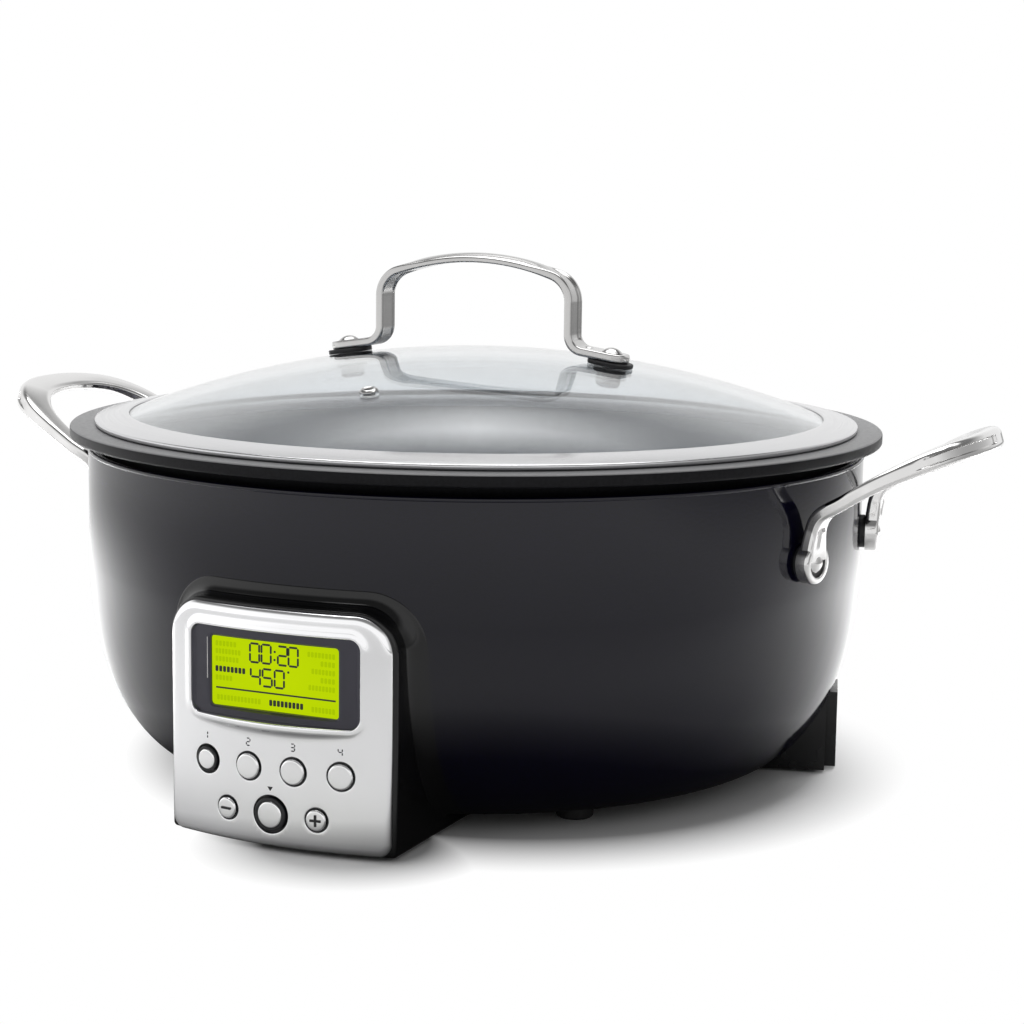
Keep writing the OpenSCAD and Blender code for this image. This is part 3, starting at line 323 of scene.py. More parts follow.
def litDisplay(name, middle, edge):
    # backlight that falls off from the middle of the display to its edges
    b = backlight
    material = surface(name, b["colour"], 0.0, (0.3, 0.38), 300, 4000, 0.01, 0.03,
                       Specular_IOR_Level=0.03, Emission_Strength=1.0)
    tree = material.node_tree
    centred = node(tree, "Mapping", {"Vector": node(tree, "TexCoord").outputs["Object"],
                                     "Location": (0, 0, -b["midZ"] * b["up"]),
                                     "Scale": (b["across"], 0, b["up"])})
    away = node(tree, "VectorMath", {0: centred.outputs[0]}, operation="LENGTH").outputs["Value"]
    tones = colourMix(tree, mapped(tree, away, 0, 1, *b["fall"]), middle, edge)
    tree.links.new(tones, tree.nodes["Principled BSDF"].inputs["Emission Color"])
    return material


def panCoating(name, dark, inside, mouth, top):
    # speckled coating: near black outside, painted paler on the flange's top for the light it catches from
    # above, a pale glaze on the cooking face
    c = coating
    material = surface(name, dark, 0.0, (0.32, 0.42), 700, 2600, 0.1, 0.3, IOR=1.4)
    tree = material.node_tree
    shader = tree.nodes["Principled BSDF"]
    radius, height, _ = node(tree, "SeparateXYZ", {"Vector": turnedPlace(tree)}).outputs
    # the cooking face lies inside the curve half way through the wall, above the middle of the floor
    drop = mapped(tree, height, 1, 0, c["floorZ"], c["turnZ"])
    bulge = maths(tree, "SQRT", maths(tree, "SUBTRACT", 1.0, maths(tree, "MULTIPLY", drop, drop)))
    middle = maths(tree, "ADD", maths(tree, "MULTIPLY", bulge, c["bulge"]), c["floorR"])
    within = maths(tree, "MULTIPLY", maths(tree, "LESS_THAN", radius, middle),
                   maths(tree, "GREATER_THAN", height, c["floorZ"]))
    glazed = maths(tree, "MULTIPLY", within, maths(tree, "LESS_THAN", height, c["mouthZ"]))
    # painted light: the glaze grows paler towards the mouth, lifting the shade under the lid's rim
    glazeAndPaintedLight = colourMix(tree, mapped(tree, height, 0, 1, *c["paler"]), inside, mouth)
    speckled = shader.inputs["Base Color"].links[0].from_socket
    # painted highlight: above the flange's top height the coating takes a paler grey
    above = maths(tree, "GREATER_THAN", height, c["topZ"])
    withPaintedTop = colourMix(tree, above, colourMix(tree, glazed, speckled, glazeAndPaintedLight), top)
    tree.links.new(withPaintedTop, shader.inputs["Base Color"])
    # round the flange's edge the coating shines less, and under the flange it is dull
    outside = maths(tree, "SUBTRACT", 1.0, within)
    beside = maths(tree, "MULTIPLY", outside, maths(tree, "SUBTRACT", 1.0, above))
    under = maths(tree, "MULTIPLY", outside, maths(tree, "LESS_THAN", height, c["underZ"]))
    shine = mapped(tree, under, mapped(tree, beside, c["shine"], c["edgeShine"]), c["underShine"])
    tree.links.new(shine, shader.inputs["Specular IOR Level"])
    return material


# each surface: name, colour, metal, roughness, sizes of cloud and grit, depth of grit, drift of tone
finishes = {
    "black_enamel": surface("blackEnamel", (0.003, 0.0026, 0.0105), 0, (0.07, 0.105), 22, 700, 0.012, 0.1,
                            IOR=1.45),
    # painted shade: the liner's steel is darker than bare steel, so that its lip reads dark in the gap under
    # the flange
    "liner_steel": surface("linerSteel", (0.3, 0.3, 0.31), 1, (0.24, 0.36), 900, 2600, 0.05, 0.06,
                           turned=True),
    "cover_black": surface("coverBlack", (0.018, 0.018, 0.019), 0, (0.42, 0.55), 60, 1500, 0.12),
    "foot_rubber": surface("footRubber", (0.012, 0.012, 0.013), 0, (0.55, 0.7), 80, 1800, 0.15),
    "zinc_steel": surface("zincSteel", (0.56, 0.57, 0.58), 1, (0.3, 0.42), 300, 2500, 0.05),
    "cast_aluminium": surface("castAluminium", (0.55, 0.55, 0.56), 1, (0.32, 0.48), 1100, 1800, 0.1, 0.07,
                              turned=True),
    "element_steel": surface("elementSteel", (0.28, 0.26, 0.25), 1, (0.4, 0.55), 120, 1600, 0.1),
    "sensor_brass": surface("sensorBrass", (0.55, 0.38, 0.16), 1, (0.3, 0.4), 200, 2000, 0.05),
    "ceramic": surface("ceramicWhite", (0.62, 0.58, 0.5), 0, (0.4, 0.5), 90, 1500, 0.06),
    "board_green": surface("boardGreen", (0.03, 0.12, 0.05), 0, (0.35, 0.5), 150, 2200, 0.06),
    "component_black": surface("componentBlack", (0.02, 0.021, 0.024), 0, (0.4, 0.5), 90, 2200, 0.08),
    "terminal_green": surface("terminalGreen", (0.05, 0.2, 0.08), 0, (0.35, 0.45), 90, 2000, 0.05),
    "mains_sheath": surface("mainsSheath", (0.02, 0.02, 0.022), 0, (0.45, 0.55), 90, 1500, 0.08),
    "heater_sheath": surface("heaterSheath", (0.3, 0.05, 0.04), 0, (0.45, 0.6), 90, 1500, 0.08),
    "control_sheath": surface("controlSheath", (0.04, 0.09, 0.22), 0, (0.45, 0.6), 90, 1500, 0.08),
    "housing_black": surface("housingBlack", (0.006, 0.006, 0.0065), 0, (0.09, 0.15), 45, 1100, 0.015, 0.1,
                             IOR=1.46),
    "inlet_black": surface("inletBlack", (0.004, 0.004, 0.0046), 0, (0.2, 0.3), 70, 1500, 0.03),
    "fascia_chrome": surface("fasciaChrome", (0.94, 0.94, 0.95), 1, (0.04, 0.075), 35, 900, 0.004, 0.015),
    "bezel_slate": surface("bezelSlate", (0.042, 0.04, 0.058), 0, (0.3, 0.4), 120, 3000, 0.03, 0.06),
    "display_lime": litDisplay("displayLime", (0.5, 0.67, 0.0), (0.47, 0.645, 0.0)),
    "button_chrome": surface("buttonChrome", (0.92, 0.92, 0.925), 1, (0.05, 0.09), 160, 1500, 0.006, 0.015),
    "handle_steel": surface("handleSteel", (0.73, 0.725, 0.72), 1, (0.07, 0.14), 55, 1300, 0.012, 0.03),
    "spacer_black": surface("spacerBlack", (0.012, 0.012, 0.013), 0, (0.4, 0.5), 90, 1800, 0.08),
    # the pan's last two colours carry painted light: the glaze's paler mouth and the flange's paler top
    "pan_coating": panCoating("panCoating", (0.008, 0.008, 0.0095), (0.132, 0.144, 0.168),
                              (0.24, 0.256, 0.292), (0.165, 0.165, 0.17)),
    "lid_clear": clearGlass("lidClear", (0.925, 0.96, 0.98), (0.0, 0.012)),
    "ring_steel": surface("ringSteel", (0.63, 0.63, 0.64), 1, (0.16, 0.26), 1300, 3000, 0.03, 0.04,
                          turned=True),
    "strap_steel": surface("strapSteel", (0.51, 0.505, 0.5), 1, (0.1, 0.2), 60, 1500, 0.012, 0.05,
                           stretch=(1, 0.15, 1)),
    "pad_rubber": surface("padRubber", (0.014, 0.014, 0.016), 0, (0.42, 0.55), 90, 1800, 0.1),
    "display_ink": surface("displayInk", (0.014, 0.022, 0.004), 0, (0.3, 0.4), 200, 2000, 0.02),
    "display_ghost": litDisplay("displayGhost", (0.4, 0.55, 0.0), (0.37, 0.53, 0.0)),
    "mark_black": surface("markBlack", (0.01, 0.01, 0.012), 0, (0.3, 0.42), 200, 2000, 0.03),
}

# The CAD nodes keep their shapes where they are right, and take these finishes
for row in frame["record"]["subparts"]:
    kept = frame["nodes"][row["node"]]
    for holder in kept.material_slots:
        holder.material = finishes[row["material_slot"]]
print("finishes ready:", len(finishes))


# Mesh helpers. Shapes are in millimetres here and go into their meshes in metres.

def gridFaces(rows, columns, closeRows=False):
    # quads of a grid whose rows follow one another, each row closed into a ring
    r = np.arange(rows if closeRows else rows - 1)[:, None]
    c = np.arange(columns)[None, :]
    here, beyond = r * columns, (r + 1) % rows * columns
    after = (c + 1) % columns
    return np.stack([here + c, here + after, beyond + after, beyond + c], -1).reshape(-1, 4)


def sheetOf(points, closeRows=False):
    # a grid of points with its faces
    return points.reshape(-1, 3), gridFaces(*points.shape[:2], closeRows).tolist()


def makePiece(name, sheets, slot, body, stands=(), crease=38, finish=None, merge=2e-6):
    # joins the sheets, merges the points they share and turns every closed shell outwards
    points = np.concatenate([p for p, _ in sheets]) * mm
    starts = np.cumsum([0] + [len(p) for p, _ in sheets])
    faces = [[i + start for i in face] for (_, part), start in zip(sheets, starts) for face in part]
    mesh = bpy.data.meshes.new(name)
    mesh.from_pydata(points.tolist(), [], faces)
    work = bmesh.new()
    work.from_mesh(mesh)
    bmesh.ops.remove_doubles(work, verts=work.verts, dist=merge)
    bmesh.ops.recalc_face_normals(work, faces=work.faces)
    work.to_mesh(mesh)
    work.free()
    mesh.polygons.foreach_set("use_smooth", np.ones(len(mesh.polygons), bool))
    mesh.set_sharp_from_angle(angle=math.radians(crease))
    mesh.materials.append(finishes[finish or slot])
    piece = bpy.data.objects.new(name, mesh)
    scene.collection.objects.link(piece)
    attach(piece, body)
    if stands:
        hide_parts(*stands)
    return piece


def arcPoints(centre, radius, start, end, count):
    # arc about a centre between two angles in degrees
    a = np.radians(np.linspace(start, end, count))
    return np.stack([centre[0] + radius * np.cos(a), centre[1] + radius * np.sin(a)], -1)


def rounded(corners, closed=True, count=6):
    # outline through corners (x, y, radius), each rounded by an arc that meets both its sides
    c = np.array(corners, float)
    p, r = c[:, :2], c[:, 2]
    back, on = np.roll(p, 1, 0) - p, np.roll(p, -1, 0) - p
    back /= np.linalg.norm(back, axis=1)[:, None] + 1e-12
    on /= np.linalg.norm(on, axis=1)[:, None] + 1e-12
    half = np.arccos(np.clip((back * on).sum(1), -1, 1)) / 2
    pieces = []
    for i in range(len(p)):
        if r[i] == 0 or (not closed and i in (0, len(p) - 1)):
            pieces.append(p[i:i + 1])
            continue
        middle = back[i] + on[i]
        centre = p[i] + middle / np.linalg.norm(middle) * r[i] / math.sin(half[i])
        first = p[i] + back[i] * r[i] / math.tan(half[i]) - centre
        last = p[i] + on[i] * r[i] / math.tan(half[i]) - centre
        sweep = math.pi - 2 * half[i]
        k = np.linspace(0, 1, count)[:, None]
        turn = (np.sin((1 - k) * sweep) * first + np.sin(k * sweep) * last) / math.sin(sweep)
        pieces.append(centre + turn)
    return np.concatenate(pieces)


def turnedSheet(outline, segments, closed=True):
    # an outline of radius and height carried once round the axis
    a = np.linspace(0, wholeTurn, segments, endpoint=False)
    r, z = outline[:, :1], outline[:, 1:]
    points = np.stack([r * np.cos(a), r * np.sin(a), z + 0 * a], -1)
    return sheetOf(points, closeRows=closed)


def radially(sheet, angle, height):
    # stands a turned sheet on its side, its axis pointing outwards at an angle round the vessel
    p, faces = sheet
    a = math.radians(angle)
    x = p[:, 2] * math.cos(a) - p[:, 0] * math.sin(a)
    y = p[:, 2] * math.sin(a) + p[:, 0] * math.cos(a)
    return np.stack([x, y, height + p[:, 1]], -1), faces


def barPattern(flatAcross, flatUp, arc):
    # unit pattern of a rounded rectangle: corner signs and corner arc directions, once round
    corners = ((1, 1), (-1, 1), (-1, -1), (1, -1))
    facings = ((0, 1), (-1, 0), (0, -1), (1, 0))
    quarter = np.linspace(0, math.pi / 2, arc)
    rows = []
    for k, ((sx, sy), (nx, ny)) in enumerate(zip(corners, facings)):
        a = quarter + k * math.pi / 2
        rows.append(np.stack([np.full(arc, sx), np.full(arc, sy), np.cos(a), np.sin(a)], -1))
        f = np.linspace(1, -1, (flatUp if k % 2 else flatAcross) + 2)[1:-1]
        rows.append(np.stack([nx + ny * f, ny - nx * f, nx + 0 * f, ny + 0 * f], -1))
    return np.concatenate(rows).T


def barOutline(pattern, halfW, halfT, corner):
    # rounded rectangle from its pattern; sizes are single values or one for each step of a path
    sx, sy, ca, sa = pattern
    w, t, c = (np.asarray(v, float).reshape(-1, 1) for v in (halfW, halfT, corner))
    return np.stack([sx * (w - c) + c * ca, sy * (t - c) + c * sa], -1)


def capped(rows):
    # a run of rows, closed at each end by a row drawn in to its middle
    first, last = (np.repeat(rows[[i]].mean(1, keepdims=True), rows.shape[1], 1) for i in (0, -1))
    return sheetOf(np.concatenate([first, rows, last]))


def alongPath(path, up, section):
    # section (steps, points, 2) carried along a path, held level by the up directions
    ahead = np.gradient(path, axis=0)
    ahead /= np.linalg.norm(ahead, axis=1)[:, None]
    across = np.cross(ahead, up)
    across /= np.linalg.norm(across, axis=1)[:, None]
    upright = np.cross(across, ahead)
    return capped(path[:, None] + across[:, None] * section[..., :1] + upright[:, None] * section[..., 1:])


def smoothStep(value, low, high):
    # nothing up to low, one from high on, and a smooth cubic rise between
    t = np.clip((np.asarray(value, float) - low) / (high - low), 0, 1)
    return t * t * (3 - 2 * t)


def domedHead(r, rise, base, short, count=16):
    # arc of a shallow dome from its top towards its edge, ending short of it by an angle in degrees
    ball = (r ** 2 + rise ** 2) / (2 * rise)
    spread = math.degrees(math.asin(r / ball))
    return arcPoints((0, base + rise - ball), ball, 90, 90 - spread + short, count)


# Vessel: shell, liner and pan are outlines turned round the axis
vessel = dict(wallR=157.8, turnZ=84.0, floorR=119.5, floorZ=5.2, topZ=128.1, holeR=100.0, sheet=1.2,
              bead=1.0, beadArc=(-50, 190), around=288)
liner = dict(wallR=154.2, floorR=114.0, floorZ=26.0, holeR=109.0, lipR=156.4, topZ=127.5, sheet=0.8,
             roll=2.0, around=240)
pan = dict(wallR=151.6, flatR=112.0, flatZ=38.0, mouthR=149.1, innerR=111.0, innerZ=41.0, turnTop=110.0,
           flangeR=165.0, flangeZ=132.3, rimZ=136.8, neck=0.8, edge=1.0, mouthEdge=1.6, around=288)


def bowlCurve(wallR, flatR, flatZ, turnZ=vessel["turnZ"], count=72):
    # quarter ellipse from a flat bottom out and up to an upright wall
    a = np.linspace(0, math.pi / 2, count)
    return np.stack([flatR + (wallR - flatR) * np.sin(a), turnZ - (turnZ - flatZ) * np.cos(a)], -1)


def bowlRadius(z):
    # radius of the shell's outside at a height
    drop = np.clip((vessel["turnZ"] - z) / (vessel["turnZ"] - vessel["floorZ"]), 0, 1)
    return vessel["floorR"] + (vessel["wallR"] - vessel["floorR"]) * np.sqrt(1 - drop * drop)


def sheetBowl(b, rim):
    # outline of a bowl of thin sheet with a hole in its floor: out and up, over the rim and back
    inZ = b["floorZ"] + b["sheet"]
    outside = bowlCurve(b["wallR"], b["floorR"], b["floorZ"])
    inside = bowlCurve(b["wallR"] - b["sheet"], b["floorR"], inZ)[::-1]
    outline = np.concatenate([[[b["holeR"], b["floorZ"]]], outside, rim, inside, [[b["holeR"], inZ]]])
    return turnedSheet(outline, b["around"])


def makeVessel():
    # shell and liner are bowls of thin sheet, each with its own rim; the pan is thick, with a flat flange
    v, n, p = vessel, liner, pan
    rolled = arcPoints((v["wallR"] - v["sheet"] / 2, v["topZ"] - v["bead"]), v["bead"], *v["beadArc"], 20)
    makePiece("shell_skin", [sheetBowl(v, rolled)], "black_enamel", "base", ["shell"])
    half = n["sheet"] / 2
    rollR = n["wallR"] - n["sheet"] + n["roll"]
    lip = np.concatenate([
        [[n["wallR"], n["topZ"] - n["sheet"]]],
        arcPoints((n["lipR"] - half, n["topZ"] - half), half, -90, 90, 10),
        arcPoints((rollR, n["topZ"] - n["roll"]), n["roll"], 90, 180, 8)])
    makePiece("liner_well", [sheetBowl(n, lip)], "liner_steel", "base", ["liner"])
    rim = rounded([(p["wallR"], p["turnTop"], 0), (p["wallR"], p["flangeZ"], p["neck"]),
                   (p["flangeR"], p["flangeZ"], p["edge"]), (p["flangeR"], p["rimZ"], p["edge"]),
                   (p["mouthR"], p["rimZ"], p["mouthEdge"]), (p["mouthR"], p["turnTop"], 0)],
                  closed=False, count=8)
    outline = np.concatenate([
        [[0, p["flatZ"]]], bowlCurve(p["wallR"], p["flatR"], p["flatZ"]), rim,
        bowlCurve(p["mouthR"], p["innerR"], p["innerZ"])[::-1], [[0, p["innerZ"]]]])
    turned = turnedSheet(outline, p["around"], closed=False)
    makePiece("pan_bowl", [turned], "pan_coating", "pan", ["pan"])
    print("vessel made")


makeVessel()


# Lid: glass dome, rim ring, strap handle with its fastenings, steam vent
lid = dict(edgeR=147.55, glassT=4.0, edgeZ=140.6, ringInR=141.3, rise=26.0, ringOutR=155.2, rimZ=136.8,
           channelR=148.3, ringT=0.7, skirtZ=129.6, edgeIn=0.6, edgeDrop=0.7, edgeLift=0.5, tuckIn=4.0,
           rimTall=2.2, rimLift=0.02, rimLean=0.2, rimRise=0.1, lipLean=0.3, gap=0.1, around=240,
           ringAround=288)
lid["domeR"] = (lid["ringInR"] ** 2 + lid["rise"] ** 2) / (2 * lid["rise"])
lid["domeZ"] = lid["edgeZ"] + lid["rise"] - lid["domeR"]
strap = dict(screwX=58.8, legX=44.0, topZ=205.2, archR=106.0, cornerR=13.0, bendR=5.0, halfW=6.0, thick=3.4,
             footPast=8.8, padT=2.0, edge=0.9, edgeShare=0.8, narrower=0.06, tipLeast=0.02, tipT=0.55,
             tipRun=1.5, channel=0.75, channelEdge=(0.52, 0.68), panel=0.5, panelEdge=(0.6, 0.72),
             legFrom=(5, 8), legTo=(34, 44), archFrom=(34, 50), crown=0.45, shoulder=1.75, dimple=0.55,
             dimpleIn=1.2, dimpleR=(0.9, 1.9))
fasten = dict(screwR=2.4, headR=4.2, headDome=1.9, headShort=3, headRim=0.1, headLean=0.3, past=5.0,
              sealBore=2.5, sealR=6.5, sealT=1.2, nutBore=2.45, nutR=5.0, nutTall=4.0, capR=3.4, capTall=1.0,
              capT=1.2, around=64)
# the pads' rows from the glass up: height and how far the row is set in, with a parting groove half way
pad = dict(halfL=9.1, halfW=6.3, corner=5.2, shift=0.2,
           rows=((0.05, 0.5), (0.15, 0.12), (0.4, 0), (0.85, 0), (0.95, 0.16),
                 (1.05, 0.16), (1.15, 0), (1.6, 0), (1.83, 0.12), (1.93, 0.5)))
vent = dict(distance=89.5, angle=-92.0, r=2.4, wall=0.8, lip=1.3, foot=0.9, edgeZ=0.6, crownZ=1.5,
            crownOut=0.1, mouthZ=0.9)


def domeHeight(r, inset=0.0):
    # height of the glass at a distance from the axis, on a sphere set in from its outer face
    return lid["domeZ"] + np.sqrt((lid["domeR"] - inset) ** 2 - np.square(r))


def onDome(sheet, distance, angle):
    # stands a sheet on the dome, its +Z along the glass's outward direction
    p, faces = sheet
    tilt, a = math.asin(distance / lid["domeR"]), math.radians(angle)
    out = p[:, 0] * math.cos(tilt) + (p[:, 2] + lid["domeR"]) * math.sin(tilt)
    z = lid["domeZ"] - p[:, 0] * math.sin(tilt) + (p[:, 2] + lid["domeR"]) * math.cos(tilt)
    x = out * math.cos(a) - p[:, 1] * math.sin(a)
    y = out * math.sin(a) + p[:, 1] * math.cos(a)
    return np.stack([x, y, z], -1), faces


def strapPath():
    # middle line of the strap in X and Z, left foot to right foot: foot, bend, leg, corner, arch and back
    s = strap
    half = s["thick"] / 2
    tilt = math.asin(s["screwX"] / lid["domeR"])
    archZ = s["topZ"] - s["archR"]
    cornerX = s["legX"] - s["cornerR"]
    cornerZ = archZ + math.sqrt((s["archR"] - s["cornerR"]) ** 2 - cornerX ** 2)
    join = math.degrees(math.atan2(cornerZ - archZ, cornerX))
    bendX = s["legX"] + s["bendR"]
    above = lid["domeR"] + s["padT"] + s["thick"] + s["bendR"] - bendX * math.sin(tilt)
    bendZ = lid["domeZ"] + above / math.cos(tilt)
    arch = arcPoints((0, archZ), s["archR"] - half, 90, join, 40)
    corner = arcPoints((cornerX, cornerZ), s["cornerR"] - half, join, 0, 24)[1:]
    leg = np.stack([np.full(24, s["legX"] - half), np.linspace(cornerZ, bendZ, 26)[1:-1]], -1)
    bend = arcPoints((bendX, bendZ), s["bendR"] + half, 180, 270 - math.degrees(tilt), 22)
    reach = (s["screwX"] + s["footPast"] - bendX) / math.cos(tilt)
    # steps along the foot, crowded towards its round tip
    f = np.concatenate([np.linspace(0.02, 0.55, 28), 1 - 0.45 * np.cos(np.linspace(0.06, math.pi / 2, 20))])
    foot = bend[-1] + f[:, None] * reach * np.array([math.cos(tilt), -math.sin(tilt)])
    rightHalf = np.concatenate([arch, corner, leg, bend, foot])
    mirrored = rightHalf[1:][::-1] * (-1, 1)
    return np.concatenate([mirrored, rightHalf]), reach


def makeStrap():
    # rounded bar carried along the strap's middle line, narrowing to a round tip at each foot
    s = strap
    flat, reach = strapPath()
    path = np.stack([flat[:, 0], 0 * flat[:, 0], flat[:, 1]], -1)
    ahead = np.gradient(path, axis=0)
    up = np.cross(np.array([[0, 1.0, 0]]) + 0 * path, ahead) * -1
    run = np.concatenate([[0], np.cumsum(np.linalg.norm(np.diff(path, axis=0), axis=1))])
    left = np.minimum(run, run[-1] - run)
    pastFoot = left - reach
    tip = np.sqrt(np.clip(1 - np.square(np.clip(1 - left / s["halfW"], 0, 1)), s["tipLeast"], 1))
    arch = smoothStep(pastFoot, *s["archFrom"])
    halfW = s["halfW"] * tip * (1 - s["narrower"] * arch)
    halfT = s["thick"] / 2 * (s["tipT"] + (1 - s["tipT"]) * smoothStep(left, 0, s["tipRun"]))
    edge = np.minimum(s["edge"], halfW * s["edgeShare"])
    section = barOutline(barPattern(26, 4, 5), halfW, halfT, edge)
    across, outside = section[..., 0] / halfW[:, None], section[..., 1]
    onOuter, onInner = outside > 0.5 * halfT[:, None], outside < -0.5 * halfT[:, None]
    # legs are stamped: a channel with rounded ends on the outer face, a shallower panel on the inner one
    inLeg = smoothStep(pastFoot, *s["legFrom"]) * (1 - smoothStep(pastFoot, *s["legTo"]))
    inChannel = 1 - smoothStep(np.abs(across), *s["channelEdge"])
    inPanel = 1 - smoothStep(np.abs(across), *s["panelEdge"])
    section[..., 1] -= onOuter * s["channel"] * inLeg[:, None] * inChannel
    section[..., 1] += onInner * s["panel"] * inLeg[:, None] * inPanel
    # over the arch the section turns into a D, its outer face crowned from edge to edge
    crown = (s["crown"] - s["shoulder"] * np.square(across)) * arch[:, None] / (2 * halfT[:, None])
    section[..., 1] = (section[..., 1] + halfT[:, None]) * (1 + crown) - halfT[:, None]
    away = np.hypot(left[:, None] - (reach - s["dimpleIn"]), section[..., 0])
    section[..., 1] -= onOuter * s["dimple"] * (1 - smoothStep(away, *s["dimpleR"]))
    makePiece("lid_strap", [alongPath(path, up, section)], "strap_steel", "lid", ["lid_handle"], 50)


def makeGlass():
    # two spheres about one centre, joined by a short wall round the edge
    g = lid
    r = np.linspace(0, g["edgeR"] - g["edgeIn"], 60)
    edge = domeHeight(r[-1])
    outline = np.concatenate([
        np.stack([r, domeHeight(r)], -1),
        [[g["edgeR"], edge - g["edgeDrop"]], [g["edgeR"], edge - g["glassT"] + g["edgeLift"]]],
        np.stack([r, domeHeight(r, g["glassT"])], -1)[::-1]])
    turned = turnedSheet(outline, g["around"], closed=False)
    glass = makePiece("lid_dome", [turned], "lid_clear", "lid", ["lid_glass"])
    glass.visible_shadow = False


def makeRing():
    # folded strip turned round the axis: over the glass, round its edge, under it and down a short skirt
    g, t = lid, lid["ringT"]
    seat, tuck = g["channelR"] - t, g["edgeR"] - g["tuckIn"]

    def over(r):
        # just clear of the glass's outer face
        return domeHeight(r) + g["gap"]

    def under(r):
        # just clear of its inner face
        return domeHeight(r, g["glassT"]) - g["gap"]

    outline = rounded([
        (g["ringInR"], over(g["ringInR"]), 0.05), (seat, over(seat), 0), (seat, under(g["edgeR"]), 0),
        (tuck, under(tuck), 0.05), (tuck, g["skirtZ"], 0.25), (tuck + t, g["skirtZ"], 0.25),
        (tuck + t, under(tuck + t) - t, 0.1), (g["channelR"], under(g["edgeR"]) - t, 0.3),
        (g["channelR"], g["rimZ"] + g["rimLift"], 0.2),
        (g["ringOutR"] - g["rimLean"], g["rimZ"] + g["rimRise"], 0.9),
        (g["ringOutR"], g["rimZ"] + g["rimTall"], 0.8),
        (g["ringInR"] + g["lipLean"], domeHeight(g["ringInR"]) + t, 0.28)])
    makePiece("lid_rim", [turnedSheet(outline, g["ringAround"])], "ring_steel", "lid", ["lid_ring"], 30)


def makeFastenings():
    # heights are measured from the glass's outer face
    b, gap = fasten, lid["gap"]
    top = strap["padT"] + strap["thick"]
    end = -lid["glassT"] - b["past"]
    screw = np.concatenate([
        domedHead(b["headR"], b["headDome"], top, b["headShort"]),
        [[b["headR"], top + b["headRim"]], [b["headR"] - b["headLean"], top - b["headRim"]]],
        [[b["screwR"], top - b["headRim"]]],
        [[b["screwR"], end], [0, end]]])
    sealTop = -lid["glassT"] - gap
    sealLow = sealTop - b["sealT"]
    seal = rounded([(b["sealBore"], sealTop, 0.1), (b["sealR"], sealTop, 0.3), (b["sealR"], sealLow, 0.4),
                    (b["sealBore"], sealLow, 0.1)])
    nutTop = sealLow - gap
    nutLow = nutTop - b["nutTall"]
    capLow = nutLow - b["capTall"]
    nut = np.concatenate([
        [[b["nutBore"], nutTop]],
        rounded([(b["nutR"], nutTop, 0), (b["nutR"], nutLow, 1.2), (b["capR"], capLow, 0.8), (0, capLow, 0)],
                closed=False),
        [[0, capLow + b["capT"]], [b["nutBore"], capLow + b["capT"]]]])
    for label, part, slot, stood in (("lid_screw_heads", screw, "strap_steel", "lid_screws"),
                                     ("lid_seals", seal, "pad_rubber", "lid_washers"),
                                     ("lid_cap_nuts", nut, "strap_steel", "lid_nuts")):
        turned = turnedSheet(part, b["around"], closed=part is not screw)
        made = [onDome(turned, strap["screwX"], angle) for angle in (0, 180)]
        makePiece(label, made, slot, "lid", [stood])


def makePads():
    # rounded tongue of rubber, rows of one outline set in by different amounts
    z, inset = np.array(pad["rows"]).T
    sizes = [pad[k] - inset for k in ("halfL", "halfW", "corner")]
    outline = barOutline(barPattern(14, 10, 10), *sizes) - (pad["shift"], 0)
    rows = np.concatenate([outline, np.repeat(z[:, None, None], outline.shape[1], 1)], -1)
    for side, angle in (("right", 0), ("left", 180)):
        placed = onDome(capped(rows), strap["screwX"], angle)
        makePiece("lid_pad_" + side + "_rubber", [placed], "pad_rubber", "lid", ["lid_pad_" + side])


def makeVent():
    # eyelet turned about an axis that stands out from the glass
    v, gap = vent, lid["gap"]
    inner, lip = v["r"] - v["wall"], v["r"] + v["lip"]
    under = -lid["glassT"] - gap
    low = under - v["foot"]
    eyelet = rounded([(inner, low, 0.2), (lip, low, 0.3), (lip, under, 0.3), (v["r"], under, 0.05),
                      (v["r"], gap, 0.05), (lip, gap, 0.1), (lip, v["edgeZ"], 0.35),
                      (v["r"] + v["crownOut"], v["crownZ"], 0.7), (inner, v["mouthZ"], 0.4)])
    placed = onDome(turnedSheet(eyelet, fasten["around"]), v["distance"], v["angle"])
    makePiece("vent_ring", [placed], "strap_steel", "lid", ["vent_eyelet"])


makeGlass()
makeRing()
makeFastenings()
makePads()
makeVent()
makeStrap()
print("lid made")


# Side handles: a cast bar carried from pad to pad round a loop, the outside of its grip hollowed
handle = dict(
    padBackR=159.5, padR=8.0, legT=5.2, gripT=8.2, legHalfW=4.6, gripHalfW=7.0, rivetGap=41.1, rivetZ=97.0,
    reach=214.6, gripZ=141.9, slope=0.245, curve=0.0047, loopHalfW=43.7, loopPower=2.25, loopOut=7.6,
    footUp=1.0, footPull=19, loopPull=9, footWide=1.6, footFade=(0.02, 0.3), growth=0.65, edge=(1.5, 0.9),
    edgeLeft=0.2, sideFrom=0.8, faceFrom=0.9, channel=0.9, hollowUp=0.5, hollowHalf=1.75, hollowRound=0.8,
    hollowRamp=(60, 47), hollowEdge=0.45, bridge=(-1.5, 40.0), perDegree=1.08, crown=0.5, legCrown=0.25,
    taper=0.6, rib=0.9, ribFrom=(0.08, 0.12), ribTo=(0.27, 0.37), ribEdge=(0.24, 0.38), recessR=5.3,
    recess=1.2, padAround=72)
handle["padMidR"] = handle["padBackR"] + handle["legT"] / 2
handle["padAngle"] = math.asin(handle["rivetGap"] / handle["padMidR"])
rivet = dict(r=3.9, dome=2.1, short=2, sunk=0.05, shankR=3.0, tailR=4.2, tailFrom=156.2, tailTo=155.2,
             washerIn=0.5, washerGap=0.05, washerLow=0.2, washerUp=0.15, around=56)
spacer = dict(inR=3.1, outR=6.6, back=157.7, front=159.46)


